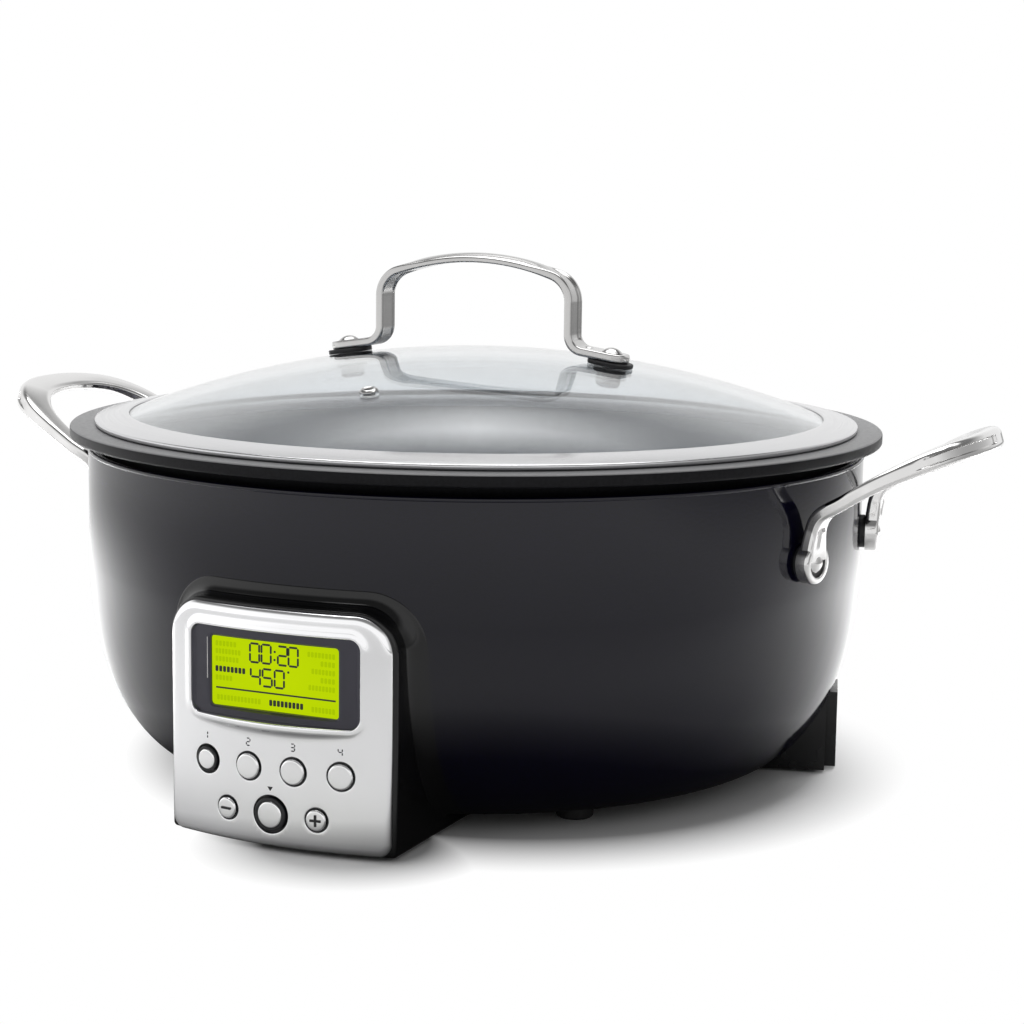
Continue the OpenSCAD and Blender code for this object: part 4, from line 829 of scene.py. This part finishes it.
def handlePath(legSteps=50, loopSteps=340):
    # middle line: up each leg on a cubic curve, then round the loop, a superellipse laid on a sloping sheet
    h = handle
    start, end = h["padMidR"] + h["loopOut"], h["reach"] - h["gripHalfW"]

    def lifted(x, y):
        # a level place raised to the sheet, which falls away from the tip on a parabola
        d = h["reach"] - x
        return np.stack([x, y, h["gripZ"] - h["slope"] * d - h["curve"] * d * d], -1)

    s = np.linspace(-1, 1, loopSteps + 1) * math.pi / 2
    power = 2 / h["loopPower"]
    x = start + (end - start) * np.maximum(0, np.cos(s)) ** power
    y = h["loopHalfW"] * np.sign(s) * np.abs(np.sin(s)) ** power
    loop = lifted(x, y)
    rise = h["slope"] + 2 * h["curve"] * (h["reach"] - start)
    t = np.linspace(0, 1, legSteps + 1)[:-1, None]
    legs = []
    for side in (-1, 1):
        padX = h["padMidR"] * math.cos(h["padAngle"])
        foot = np.array([padX, side * h["rivetGap"], h["rivetZ"] + h["footUp"]])
        last = loop[0 if side < 0 else -1]
        pulls = (foot + (0, 0, h["footPull"]), last - h["loopPull"] * np.array([1, 0, rise]))
        legs.append((1 - t) ** 3 * foot + 3 * t * (1 - t) ** 2 * pulls[0] + 3 * t * t * (1 - t) * pulls[1]
                    + t ** 3 * last)
    return np.concatenate([legs[0], loop, legs[1][::-1]]), legSteps, loopSteps


def handleBar():
    # rounded bar carried along the handle's middle line, growing from its legs to its grip
    h = handle
    path, legSteps, loopSteps = handlePath()
    step = np.arange(len(path))
    fromEnd = np.minimum(step, len(path) - 1 - step)
    onLeg = np.minimum(1, fromEnd / legSteps)
    side = np.where(step < len(path) / 2, -1, 1)
    lean = math.pi / 2 * (1 - onLeg)
    rise = h["slope"] + 2 * h["curve"] * (h["reach"] - path[:, 0])
    up = np.stack([-math.cos(h["padAngle"]) * np.sin(lean) - onLeg * rise,
                   -side * math.sin(h["padAngle"]) * np.sin(lean), np.cos(lean)], -1)
    around = np.clip((step - legSteps) / loopSteps * 180 - 90, -90, 90)
    grown = smoothStep(1 - np.abs(around) / 90, 0, h["growth"])
    low = 1 - smoothStep(onLeg, *h["footFade"])
    halfW = h["legHalfW"] + (h["gripHalfW"] - h["legHalfW"]) * grown + h["footWide"] * low
    halfT = (h["legT"] + (h["gripT"] - h["legT"]) * grown) / 2
    edge = np.minimum(halfT - h["edgeLeft"], h["edge"][0] + h["edge"][1] * grown)
    section = barOutline(barPattern(14, 30, 7), halfW, halfT, edge)
    across, high = section[..., 0] / halfW[:, None], section[..., 1] / halfT[:, None]
    # the outside of the grip is hollowed between ramps, with a rounded end beside the bridge at the tip
    ramp = h["hollowRamp"]
    ramped = smoothStep(around, -ramp[0], -ramp[1]) * (1 - smoothStep(around, ramp[1], ramp[0]))
    fromBridge = np.maximum(h["bridge"][0] - around, around - h["bridge"][1]) * h["perDegree"]
    corner = h["hollowHalf"] * h["hollowRound"]
    deepEnd = corner - fromBridge[:, None]
    deepSide = np.abs(section[..., 1] - h["hollowUp"]) - (h["hollowHalf"] - corner)
    outerEdge = np.hypot(np.maximum(deepEnd, 0), np.maximum(deepSide, 0)) - corner
    hollow = h["channel"] * ramped[:, None] * (1 - smoothStep(outerEdge, -h["hollowEdge"], 0.0))
    section[..., 0] -= hollow * (across > h["sideFrom"])
    crown = h["crown"] * (1 - np.square(across)) * (np.abs(high) > h["faceFrom"]) * np.sign(high)
    section[..., 1] += crown * (h["legCrown"] + (1 - h["legCrown"]) * grown)[:, None]
    # the grip thins towards the inside of the loop, keeping its top level
    thinner = 1 - h["taper"] * grown[:, None] * (1 - across) / 2
    section[..., 1] = halfT[:, None] - (halfT[:, None] - section[..., 1]) * thinner
    # a low rib runs down the outside of each leg into its pad
    rib = smoothStep(onLeg, *h["ribFrom"]) * (1 - smoothStep(onLeg, *h["ribTo"]))
    onRib = (1 - smoothStep(np.abs(across), *h["ribEdge"])) * (high < -h["sideFrom"])
    section[..., 1] -= h["rib"] * rib[:, None] * onRib
    return alongPath(path, up, section)


def handleOutlines():
    # turned outlines on a pad's axis: the pad, its rivet, and the spacer and washer
    h, v, s = handle, rivet, spacer
    front = h["padBackR"] + h["legT"]
    seat = front - h["recess"]
    padLine = np.concatenate([[[0, h["padBackR"]]], rounded([
        (h["padR"], h["padBackR"], 0), (h["padR"], front, 1.4), (h["recessR"], front, 0.35),
        (h["recessR"], seat, 0.1), (0, seat, 0)], closed=False)])
    rivetLine = np.concatenate([
        domedHead(v["r"], v["dome"], seat, v["short"]),
        [[v["r"], seat - v["sunk"]], [v["shankR"], seat - v["sunk"]], [v["shankR"], v["tailFrom"]]],
        [[v["tailR"], v["tailFrom"]], [v["tailR"], v["tailTo"]], [0, v["tailTo"]]]])
    spacerLine = rounded([(s["inR"], s["back"], 0), (s["outR"], s["back"], 0),
                          (s["outR"], s["front"], 0.3), (s["inR"], s["front"], 0)])
    inR, outR = v["r"] - v["washerIn"], h["recessR"] - v["washerGap"]
    low, top = seat - v["washerLow"], seat + v["washerUp"]
    washerLine = rounded([(inR, low, 0), (outR, low, 0), (outR, top, 0.1), (inR, top, 0)])
    return padLine, rivetLine, spacerLine, washerLine


def makeHandles():
    # a handle is its bar and two pads; the left one is the right one turned half round
    h, n = handle, rivet["around"]
    bar = handleBar()
    padLine, rivetLine, *ringLines = handleOutlines()
    turnAngle = math.degrees(h["padAngle"])
    rivets, spacers = [], []
    for name, mirror in (("right", 1), ("left", -1)):
        sheets = [bar]
        for s in (-1, 1):
            a = s * turnAngle
            sheets.append(radially(turnedSheet(padLine, h["padAround"], closed=False), a, h["rivetZ"]))
            place = a if mirror > 0 else 180 + a
            rivets.append(radially(turnedSheet(rivetLine, n, closed=False), place, h["rivetZ"]))
            spacers += [radially(turnedSheet(line, n), place, h["rivetZ"]) for line in ringLines]
        sheets = [(p * (mirror, mirror, 1), f) for p, f in sheets]
        makePiece("handle_" + name + "_cast", sheets, "handle_steel", "base", ["handle_" + name], 42)
    makePiece("handle_rivet_heads", rivets, "handle_steel", "base", ["handle_rivets"])
    makePiece("handle_spacer_rings", spacers, "spacer_black", "base", ["handle_spacers"])
    print("side handles made")


makeHandles()


# Control panel. The fascia is worked out on the cylinder's unrolled surface, s along it and z up.
fascia = dict(r=169.5, thick=2.2, halfW=45.54, bottom=1.5, top=87.2, topCorner=14.0, bottomCorner=5.0,
              leastCorner=0.5, edgeIn=3.0, edgeDeep=2.0, holeEdge=0.4, windowHalfW=34.23, windowZ0=47.0,
              windowZ1=79.0, windowCorner=4.2, holeAround=72)
bead = dict(high=0.75, flat=1.1, fall=1.2, chin=1.9, chinFall=1.5, chinHalfW=33, chinOver=3, chinRun=4)
web = dict(rings=(1.3, 8.2, 0.75), gridHalfW=42, gridZ=(5, 83), step=1.5, pastRings=8.6, fromEdge=0.8,
           fromHole=0.6)
# each button: name, place across and up, radius
buttons = (("mode", -27.0, 30.0, 4.6), ("menu", -9.0, 30.0, 4.6), ("time", 9.0, 30.0, 4.6),
           ("temp", 27.0, 30.0, 4.6), ("minus", -18.0, 13.5, 3.8), ("start", 0.0, 13.5, 6.2),
           ("plus", 18.0, 13.5, 3.8))
buttonGap = 0.7


def onPanel(s, z, high):
    # point of the panel's cylinder, stood off its front by a height
    r = fascia["r"] + high
    return np.stack([r * np.sin(s / fascia["r"]), -r * np.cos(s / fascia["r"]), z + 0 * s], -1)


def panelShape(w, low, top, lower, upper, counts, steps):
    # upright outline with round corners of one size below and another above, its sides cut into steps
    arcs = [arcPoints((w - lower, low + lower), lower, -90, 0, counts[0]),
            arcPoints((w - upper, top - upper), upper, 0, 90, counts[1]),
            arcPoints((upper - w, top - upper), upper, 90, 180, counts[1]),
            arcPoints((lower - w, low + lower), lower, 180, 270, counts[0])]
    filled = []
    for k, (arc, count) in enumerate(zip(arcs, steps * 2)):
        mix = np.linspace(0, 1, count + 2)[1:-1, None]
        filled += [arc, arc[-1] * (1 - mix) + arcs[(k + 1) % 4][0] * mix]
    return np.concatenate(filled)


def panelOutline(inset):
    # the fascia's outline set in by a distance
    f = fascia
    lower, upper = (max(f[k] - inset, f["leastCorner"]) for k in ("bottomCorner", "topCorner"))
    w, low, top = f["halfW"] - inset, f["bottom"] + inset, f["top"] - inset
    return panelShape(w, low, top, lower, upper, (26, 26), (44, 60))


def windowOutline(outset, pattern=barPattern(70, 34, 12)):
    # the window's rounded rectangle grown by a distance
    f = fascia
    grown = barOutline(pattern, f["windowHalfW"] + outset, (f["windowZ1"] - f["windowZ0"]) / 2 + outset,
                       f["windowCorner"] + outset)[0]
    return grown + (0, (f["windowZ0"] + f["windowZ1"]) / 2)


def windowDistance(s, z):
    # distance outside the window's outline, below zero inside
    f = fascia
    c = f["windowCorner"]
    dx = np.abs(s) - (f["windowHalfW"] - c)
    dz = np.abs(z - (f["windowZ0"] + f["windowZ1"]) / 2) - ((f["windowZ1"] - f["windowZ0"]) / 2 - c)
    return np.hypot(np.maximum(dx, 0), np.maximum(dz, 0)) + np.minimum(np.maximum(dx, dz), 0) - c


def windowBead(s, z):
    # raised bead round the window that swells into a chin under its middle
    b = bead
    under = smoothStep(fascia["windowZ0"] + b["chinOver"] - z, 0, b["chinRun"])
    under = under * np.clip(1 - np.square(s / b["chinHalfW"]), 0, 1)
    beyond = np.maximum(windowDistance(s, z) - b["flat"], 0)
    width = b["fall"] + b["chinFall"] * under
    return (b["high"] + b["chin"] * under) * np.exp(-np.square(beyond / width))


def fasciaWeb(loops, holes):
    # flat web between the rolled edges: rings round the window, a grid elsewhere, joined into triangles
    f = fascia
    rings = np.concatenate([windowOutline(d) for d in np.arange(*web["rings"])])
    gridS, gridZ = np.meshgrid(np.arange(-web["gridHalfW"], web["gridHalfW"] + 0.1, web["step"]),
                               np.arange(*web["gridZ"], web["step"]))
    grid = np.stack([gridS.ravel(), gridZ.ravel()], -1)
    grid = grid[windowDistance(grid[:, 0], grid[:, 1]) > web["pastRings"]]
    inside = np.concatenate([rings, grid])
    core = f["edgeIn"] + web["fromEdge"]
    edgeS = f["halfW"] - core - np.abs(inside[:, 0])
    edgeZ = np.minimum(f["top"] - core - inside[:, 1], inside[:, 1] - f["bottom"] - core)
    corner = f["topCorner"] - core
    deepS, deepZ = corner - edgeS, corner - (f["top"] - core - inside[:, 1])
    clear = (edgeS > 0) & (edgeZ > 0) & ~((deepS > 0) & (deepZ > 0) & (np.hypot(deepS, deepZ) > corner))
    for s, z, r in holes:
        clear &= np.hypot(inside[:, 0] - s, inside[:, 1] - z) > r + web["fromHole"]
    inside = inside[clear]
    points = np.concatenate(loops + [inside])
    counts = [len(loop) for loop in loops]
    starts = np.cumsum([0] + counts)
    edges = np.concatenate([np.stack([np.arange(n), np.roll(np.arange(n), -1)], -1) + start
                            for n, start in zip(counts, starts)])
    made = delaunay_2d_cdt(points.tolist(), edges.tolist(), [], 0, 1e-6, False)
    flat, faces = np.array([tuple(v) for v in made[0]]), np.array(made[2])
    middle = flat[faces].mean(1)
    keep = windowDistance(middle[:, 0], middle[:, 1]) > f["holeEdge"]
    for s, z, r in holes:
        keep &= np.hypot(middle[:, 0] - s, middle[:, 1] - z) > r
    return flat, faces[keep]


def edgeRoll(inset, deep, count):
    # quarter ellipse from a plate's edge up to its face: inset from the edge, depth under the face
    a = np.linspace(0, math.pi / 2, count)
    return inset * (1 - np.cos(a)), -deep * (1 - np.sin(a))


def makeFascia():
    # rolled edges round the plate, the window and each button, joined by the web in front and behind
    f = fascia
    sheets, loops, holes = [], [], []
    deep = -f["thick"]
    a = np.linspace(0, wholeTurn, f["holeAround"], endpoint=False)

    def front(flat, high):
        # the plate's front with the window's bead on it
        return onPanel(*flat.T, high + windowBead(*flat.T))

    def rollEdge(outline, edge, drop, count):
        # from the back round to the front; outline gives the loop at a distance from the edge
        rows = [onPanel(*outline(d).T, deep) for d in (edge, 0.0)]
        rows += [front(outline(d), h) for d, h in zip(*edgeRoll(edge, drop, count))]
        sheets.append(sheetOf(np.stack(rows)))
        loops.append(outline(edge))

    rollEdge(panelOutline, f["edgeIn"], f["edgeDeep"], 9)
    rollEdge(windowOutline, f["holeEdge"], f["holeEdge"], 6)
    for name, x, z, r in buttons:
        s = f["r"] * math.asin(x / f["r"])
        bore = r + buttonGap

        def circle(grow):
            # the button's opening, grown by a distance
            return np.stack([s + (bore + grow) * np.cos(a), z + (bore + grow) * np.sin(a)], -1)

        rollEdge(circle, f["holeEdge"], f["holeEdge"], 6)
        holes.append((s, z, bore + f["holeEdge"]))
    flat, faces = fasciaWeb(loops, holes)
    sheets.append((front(flat, 0.0), faces.tolist()))
    sheets.append((onPanel(*flat.T, deep), faces.tolist()))
    makePiece("fascia_plate", sheets, "fascia_chrome", "base", ["fascia"], 44)
    print("fascia made")


makeFascia()


# Window: slate bezel, display, lit segments. The bezel's rows: slope, share of the way from the outer edge
# to the step and share of the depth; ledge, the same from the step to the opening; wall, down the opening.
# the strip at the display's left is a painted highlight: its ends across and up, and how proud it stands
window = dict(sink=0.6, displayY=165.72, halfW=25.8, z0=50.0, z1=75.3, corner=1.4, step=0.55,
              outer=(33.9, 15.95, 4.45), plateOut=(2.4, 1.9), plateCorner=0.8, plateT=(3.1, 0.05),
              plateIn=0.3, trim=(-27.25, -26.85, 59.5, 74.5), trimProud=0.12,
              slope=((0, -0.6), (0, 0.9), (0.02, 1.0), (0.2, 1.0), (0.4, 1.0), (0.6, 1.0), (0.8, 1.0),
                     (0.97, 1.0), (1, 0.93)),
              ledge=(0.6, 0.66), wall=(0.6, 0.02, -0.6))


def makeWindow():
    # frame: rows round the window, from its outer edge in to the display; panel: a plate behind it
    f, w = fascia, window
    pattern = barPattern(60, 30, 10)
    halfTall, midZ = (w["z1"] - w["z0"]) / 2, (w["z0"] + w["z1"]) / 2
    outer = barOutline(pattern, *w["outer"])[0] + (0, (f["windowZ0"] + f["windowZ1"]) / 2)
    inner, step = (barOutline(pattern, w["halfW"] + out, halfTall + out, w["corner"] + out)[0] + (0, midZ)
                   for out in (0, w["step"]))
    front = f["r"] - w["sink"]

    def upright(flat, depth):
        # point at a share of the way from the display's plane to the bezel's curved front
        y = w["displayY"] + depth * (np.sqrt(front ** 2 - np.square(flat[:, 0])) - w["displayY"])
        return np.stack([flat[:, 0], -y, flat[:, 1]], -1)

    rows = [upright(outer + (step - outer) * share, depth) for share, depth in w["slope"]]
    share, depth = w["ledge"]
    rows += [upright(inner * share + step * (1 - share), depth)]
    rows += [upright(inner, depth) for depth in w["wall"]]
    ring = sheetOf(np.stack(rows), closeRows=True)
    makePiece("window_frame", [ring], "bezel_slate", "base", ["window_bezel"], 25)
    wide, tall = w["plateOut"]
    plate = barOutline(pattern, w["halfW"] + wide, halfTall + tall, w["plateCorner"])[0] + (0, midZ)
    centre = np.repeat(plate.mean(0, keepdims=True), len(plate), 0)
    back, face = w["plateT"]
    between = plate * (1 - w["plateIn"]) + centre * w["plateIn"]
    layers = ((centre, back), (plate, back), (plate, face), (between, face), (centre, face))
    rows = [np.stack([o[:, 0], -w["displayY"] + deep + 0 * o[:, 0], o[:, 1]], -1) for o, deep in layers]
    makePiece("display_panel", [sheetOf(np.stack(rows))], "display_lime", "base", ["lcd"])
    print("window made")


makeWindow()

# Seven-segment figures: which of the bars a to g each figure lights
figureBars = {"0": "abcdef", "1": "bc", "2": "abged", "3": "abgcd", "4": "fgbc", "5": "afgcd"}
# each line of figures: foot, height, and the figures with where each starts; each row of cells: start,
# end, foot and height
readout = dict(
    stroke=0.76, gap=0.12, proud=0.05, faintProud=0.02, figureWide=3.75, cellWide=0.72, cellFill=0.74,
    lines=((66.9, 6.7, (("0", -10.2), ("0", -5.5), ("2", 1.1), ("0", 5.4))),
           (58.6, 6.2, (("4", -9.9), ("5", -5.1), ("0", -0.2)))),
    dots=((-0.65, 68.1), (-0.55, 71.0), (4.9, 64.2)), dot=0.8, rule=(-24.2, 24.2, 56.0, 56.6),
    darkCells=((-24.4, -11.8, 62.1, 2.1), (-2.4, 11.6, 51.8, 2.2)),
    faintCells=((-24.3, -15.5, 71.4, 1.9), (-24.3, -13.8, 68.6, 1.9), (-24.3, -14.6, 65.8, 1.9),
                (-24.3, -17.2, 59.0, 1.9), (13.0, 24.2, 71.0, 1.9), (18.2, 24.2, 68.05, 1.9),
                (14.6, 24.2, 65.1, 1.9), (18.2, 24.2, 62.15, 1.9), (13.4, 24.2, 59.2, 1.9),
                (-23.8, -5.6, 51.8, 2.0), (14.6, 24.2, 51.4, 2.0)))
numeral = dict(wide=1.5, tall=2.6, stroke=0.42, over=2.9, proud=0.06, pointer=(1.1, 1.6), pointerUp=1.0)


def segmentBar(start, end, stroke):
    # pointed bar between two points: six corners
    a, b = np.array(start, float), np.array(end, float)
    along = (b - a) / np.linalg.norm(b - a)
    half = np.array([-along[1], along[0]]) * stroke / 2
    tip = along * stroke / 2
    return np.array([a, a + tip - half, b - tip - half, b, b - tip + half, a + tip + half])


def figureSegments(figure, x, z, wide, tall, stroke=readout["stroke"]):
    # the lit bars of a figure, each between two points of its box
    g = readout["gap"]
    right, middle, top = x + wide, z + tall / 2, z + tall
    ends = {"a": ((x + g, top), (right - g, top)), "g": ((x + g, middle), (right - g, middle)),
            "d": ((x + g, z), (right - g, z)), "f": ((x, middle + g), (x, top - g)),
            "b": ((right, middle + g), (right, top - g)), "e": ((x, z + g), (x, middle - g)),
            "c": ((right, z + g), (right, middle - g))}
    return [segmentBar(*ends[k], stroke) for k in figureBars[figure]]


def block(x0, x1, z0, z1, cutShare=0.22):
    # rectangle with its corners cut off
    cut = min(x1 - x0, z1 - z0) * cutShare
    return np.array([(x0 + cut, z0), (x1 - cut, z0), (x1, z0 + cut), (x1, z1 - cut),
                     (x1 - cut, z1), (x0 + cut, z1), (x0, z1 - cut), (x0, z0 + cut)])


def raisedMarks(outlines, place, proud, sunk=0.12):
    # each flat outline becomes a thin closed slab; place puts a flat point at a height over the face
    sheets = []
    for flat in outlines:
        n = len(flat)
        points = np.concatenate([place(flat, proud), place(flat, -sunk)])
        walls = gridFaces(2, n).tolist()
        sheets.append((points, walls + [list(range(n)), list(range(n, 2 * n))[::-1]]))
    return sheets


def makeReadout():
    # thin slabs for all that the display shows
    o = readout

    def place(flat, high):
        # on the display's plane
        return np.stack([flat[:, 0], -window["displayY"] - high + 0 * flat[:, 0], flat[:, 1]], -1)

    def onBezel(flat, high):
        # on the bezel's curved front
        r = fascia["r"] - window["sink"] + high
        return np.stack([flat[:, 0], -np.sqrt(r ** 2 - np.square(flat[:, 0])), flat[:, 1]], -1)

    def cells(x0, x1, z, tall):
        # row of small plain cells
        count = round((x1 - x0) / (tall * o["cellWide"]))
        pitch = (x1 - x0) / count
        return [block(x0 + k * pitch, x0 + (k + o["cellFill"]) * pitch, z, z + tall) for k in range(count)]

    lit, faint = [], []
    for z, tall, figures in o["lines"]:
        for figure, x in figures:
            lit += figureSegments(figure, x, z, o["figureWide"], tall)
    lit += [block(x, x + o["dot"], z, z + o["dot"]) for x, z in o["dots"]] + [block(*o["rule"])]
    for row in o["darkCells"]:
        lit += cells(*row)
    for row in o["faintCells"]:
        faint += cells(*row)
    figures = raisedMarks(lit, place, o["proud"])
    makePiece("display_figures", figures, "bezel_slate", "base", finish="display_ink")
    unlit = raisedMarks(faint, place, o["faintProud"])
    makePiece("display_unlit", unlit, "display_lime", "base", finish="display_ghost")
    # painted highlight: a thin bright strip down the left of the display, standing in for the glint on the
    # window's edge
    line = raisedMarks([block(*window["trim"])], onBezel, window["trimProud"])
    makePiece("window_trim", line, "fascia_chrome", "base", finish="strap_steel")


makeReadout()


def makeNumerals():
    # plain numerals over the upper row of buttons and a pointer over the middle one below
    n = numeral

    def place(flat, high):
        # on the panel's front
        return onPanel(flat[:, 0], flat[:, 1], high)

    marks = []
    for figure, (name, x, z, r) in zip("1234", buttons):
        left = x - n["wide"] if figure == "1" else x - n["wide"] / 2
        marks += figureSegments(figure, left, z + r + n["over"], n["wide"], n["tall"], n["stroke"])
    name, x, z, r = buttons[5]
    half, drop = n["pointer"]
    top = z + r + n["over"] + n["pointerUp"]
    marks.append(np.array([(x - half, top), (x, top - drop), (x + half, top)]))
    raised = raisedMarks(marks, place, n["proud"])
    makePiece("fascia_numerals", raised, "fascia_chrome", "base", finish="mark_black")


makeNumerals()

# Buttons: turned caps that stand a little proud; two of them sit in a black collar, whose lips have a drop
# under the cap's front and a corner
button = dict(proud=0.9, edge=0.75, crown=0.12, shoulder=(0.55, 0.08), sideDeep=1.2, capDeep=6.6,
              flangeOut=1.2, flangeTop=2.4, flangeDeep=3.4, overlap=0.2, collarDeep=4.0, collarGap=0.05,
              outerLip=(0.25, 0.5), innerLip=(0.2, 0.15), collars={"mode": 3.75, "start": 4.9}, around=72,
              markT=0.3, markUp=0.1, markHalf=2.1, markStroke=0.42)


def signOutline(name):
    # the minus is a bar with cut corners, the plus a cross
    t, e = button["markStroke"], button["markHalf"]
    if name == "minus":
        return block(-e, e, -t, t)
    return np.array([(-e, -t), (-t, -t), (-t, -e), (t, -e), (t, -t), (e, -t),
                     (e, t), (t, t), (t, e), (-t, e), (-t, t), (-e, t)])


def makeButton(name, x, z, r):
    # cap, skirt and collar are outlines turned about the button's axis
    f, b = fascia, button
    front, back = f["r"] + b["proud"], f["r"] - b["capDeep"]
    flangeTop, outR = f["r"] - b["flangeTop"], r + b["flangeOut"]
    capR = b["collars"].get(name, r)
    angle = -90 + math.degrees(math.asin(x / f["r"]))
    label = "button_" + name
    body = label + "_cap"

    def onCap(flat, high):
        # on the cap's front, before it is stood on its side
        return np.stack([flat[:, 0], flat[:, 1], front + b["markUp"] + high + 0 * flat[:, 0]], -1)

    def turnedPart(outline, closed=True):
        # an outline turned about the button's axis
        return [radially(turnedSheet(outline, b["around"], closed), angle, z)]

    def blackPart(kind, sheets):
        # a black piece that moves with the cap
        makePiece(label + kind, sheets, "component_black", body, finish="mark_black")

    share, lift = b["shoulder"]
    face = rounded([(0, front + b["crown"], 0), (capR * share, front + lift, 0), (capR, front, b["edge"]),
                    (capR, f["r"] - b["sideDeep"], 0)], closed=False, count=9)
    cap = np.concatenate([face, [[capR, back], [0, back]]])
    if name not in b["collars"]:
        low, inR = f["r"] - b["flangeDeep"], capR - b["overlap"]
        flange = rounded([(inR, low, 0), (outR, low, 0.1), (outR, flangeTop, 0.1), (inR, flangeTop, 0)])
        blackPart("_skirt", turnedPart(flange))
    makePiece(label + "_chrome", turnedPart(cap, closed=False), "button_chrome", body, [label])
    if name in b["collars"]:
        low, inR = f["r"] - b["collarDeep"], capR + b["collarGap"]
        (outerDrop, outerCorner), (innerDrop, innerCorner) = b["outerLip"], b["innerLip"]
        collar = rounded([(inR, low, 0), (outR, low, 0.1), (outR, flangeTop, 0.1), (r, flangeTop, 0),
                          (r, front - outerDrop, outerCorner), (inR, front - innerDrop, innerCorner)])
        blackPart("_collar", turnedPart(collar))
    if name in ("minus", "plus"):
        raised = raisedMarks([signOutline(name)], onCap, b["markT"])
        blackPart("_mark", [radially(m, angle, z) for m in raised])


for row in buttons:
    makeButton(*row)
print("buttons made")


# Housing: a slab behind the fascia that flares into the bowl's skin through a hollow fillet
housing = dict(halfW=45.8, bottom=1.2, top=88.2, topCorner=15.0, lowCorner=1.6, leastCorner=0.3,
               frontR=167.25, wall=4.2, edge=0.9, backY=96.0, fillet=5.2, lip=0.8, under=(4.0, 5.4),
               sunk=0.5, leastR=60, rebate=1.6, lipTurn=(0.1, 1.5, 7),
               filletTurn=(0.1, math.pi / 2, 12))


def slabOutline(out):
    # the slab's upright outline grown by a distance, its foot staying on the same level
    h = housing
    w, low, top = h["halfW"] + out, h["bottom"] + max(0, -out), h["top"] + out
    lower = max(h["lowCorner"] + min(out, 0), h["leastCorner"])
    return panelShape(w, low, top, lower, h["topCorner"] + out, (8, 20), (60, 40))


def makeHousing():
    # rows round the slab: off the bowl's skin, up the fillet, over the front edge and back inside
    h = housing

    def row(out, fromFront=None, fromSkin=0.0):
        # set back from the curved front, or stood off the bowl's skin, which ends in a floor under the bowl
        x, z = slabOutline(out).T
        front = np.sqrt(h["frontR"] ** 2 - x * x)
        skin = np.sqrt(np.maximum(bowlRadius(z) - h["sunk"], h["leastR"]) ** 2 - x * x)
        under = 1 - smoothStep(z, *h["under"])
        back = np.minimum(front, skin * (1 - under) + h["backY"] * under)
        y = np.minimum(front, back + fromSkin) if fromFront is None else np.maximum(front - fromFront, back)
        return np.stack([x, -y, z], -1)

    lip, fillet = h["lip"], h["fillet"]
    rows = [row(fillet + lip)]
    rows += [row(fillet + lip * math.cos(k), fromSkin=lip * math.sin(k))
             for k in np.linspace(*h["lipTurn"])]
    rows += [row(fillet * (1 - math.sin(k)), fromSkin=lip + fillet * (1 - math.cos(k)))
             for k in np.linspace(*h["filletTurn"])]
    inset, high = edgeRoll(h["edge"], h["edge"], 7)
    rows += [row(-d, fromFront=-up) for d, up in zip(inset, high)]
    rows += [row(-h["wall"], fromFront=0), row(-h["wall"], fromFront=h["rebate"]), row(-h["wall"])]
    slab = sheetOf(np.stack(rows), closeRows=True)
    makePiece("housing_shell", [slab], "housing_black", "base", ["housing"], 40)
    print("housing made")


makeHousing()

# Feet: turned rubber with a screw recess
foot = dict(ringR=112.0, r=7.3, lean=0.5, tall=5.2, holeR=2.05, recessR=3.8, recess=2.6, around=64)


def makeFeet():
    # one turned foot, copied to four places on a ring
    t = foot
    outline = rounded([(t["holeR"], t["tall"], 0), (t["r"], t["tall"], 0.3), (t["r"] - t["lean"], 0, 1.1),
                       (t["recessR"], 0, 0.3), (t["recessR"], t["recess"], 0.1),
                       (t["holeR"], t["recess"], 0)])
    p, faces = turnedSheet(outline, t["around"])
    for name, angle in (("front_right", -45), ("front_left", -135), ("rear_right", 45), ("rear_left", 135)):
        a = math.radians(angle)
        place = (t["ringR"] * math.cos(a), t["ringR"] * math.sin(a), 0)
        makePiece("foot_" + name + "_rubber", [(p + place, faces)], "foot_rubber", "base", ["foot_" + name])


makeFeet()

# Moulded inlet pieces keep their CAD shape, with their corners merged and softened by widths in metres
soften = dict(widths={"inlet_block": 0.0008, "inlet_insert": 0.0005, "inlet_pins": 0.0003}, merge=1e-5,
              segments=3, sharpest=40, weight=100)
for name, width in soften["widths"].items():
    kept = frame["nodes"][name]
    weld = kept.modifiers.new("weld", "WELD")
    weld.merge_threshold = soften["merge"]
    soft = kept.modifiers.new("soften", "BEVEL")
    soft.width = width
    soft.segments = soften["segments"]
    soft.limit_method = "ANGLE"
    soft.angle_limit = math.radians(soften["sharpest"])
    soft.harden_normals = True
    even = kept.modifiers.new("even", "WEIGHTED_NORMAL")
    even.weight = soften["weight"]
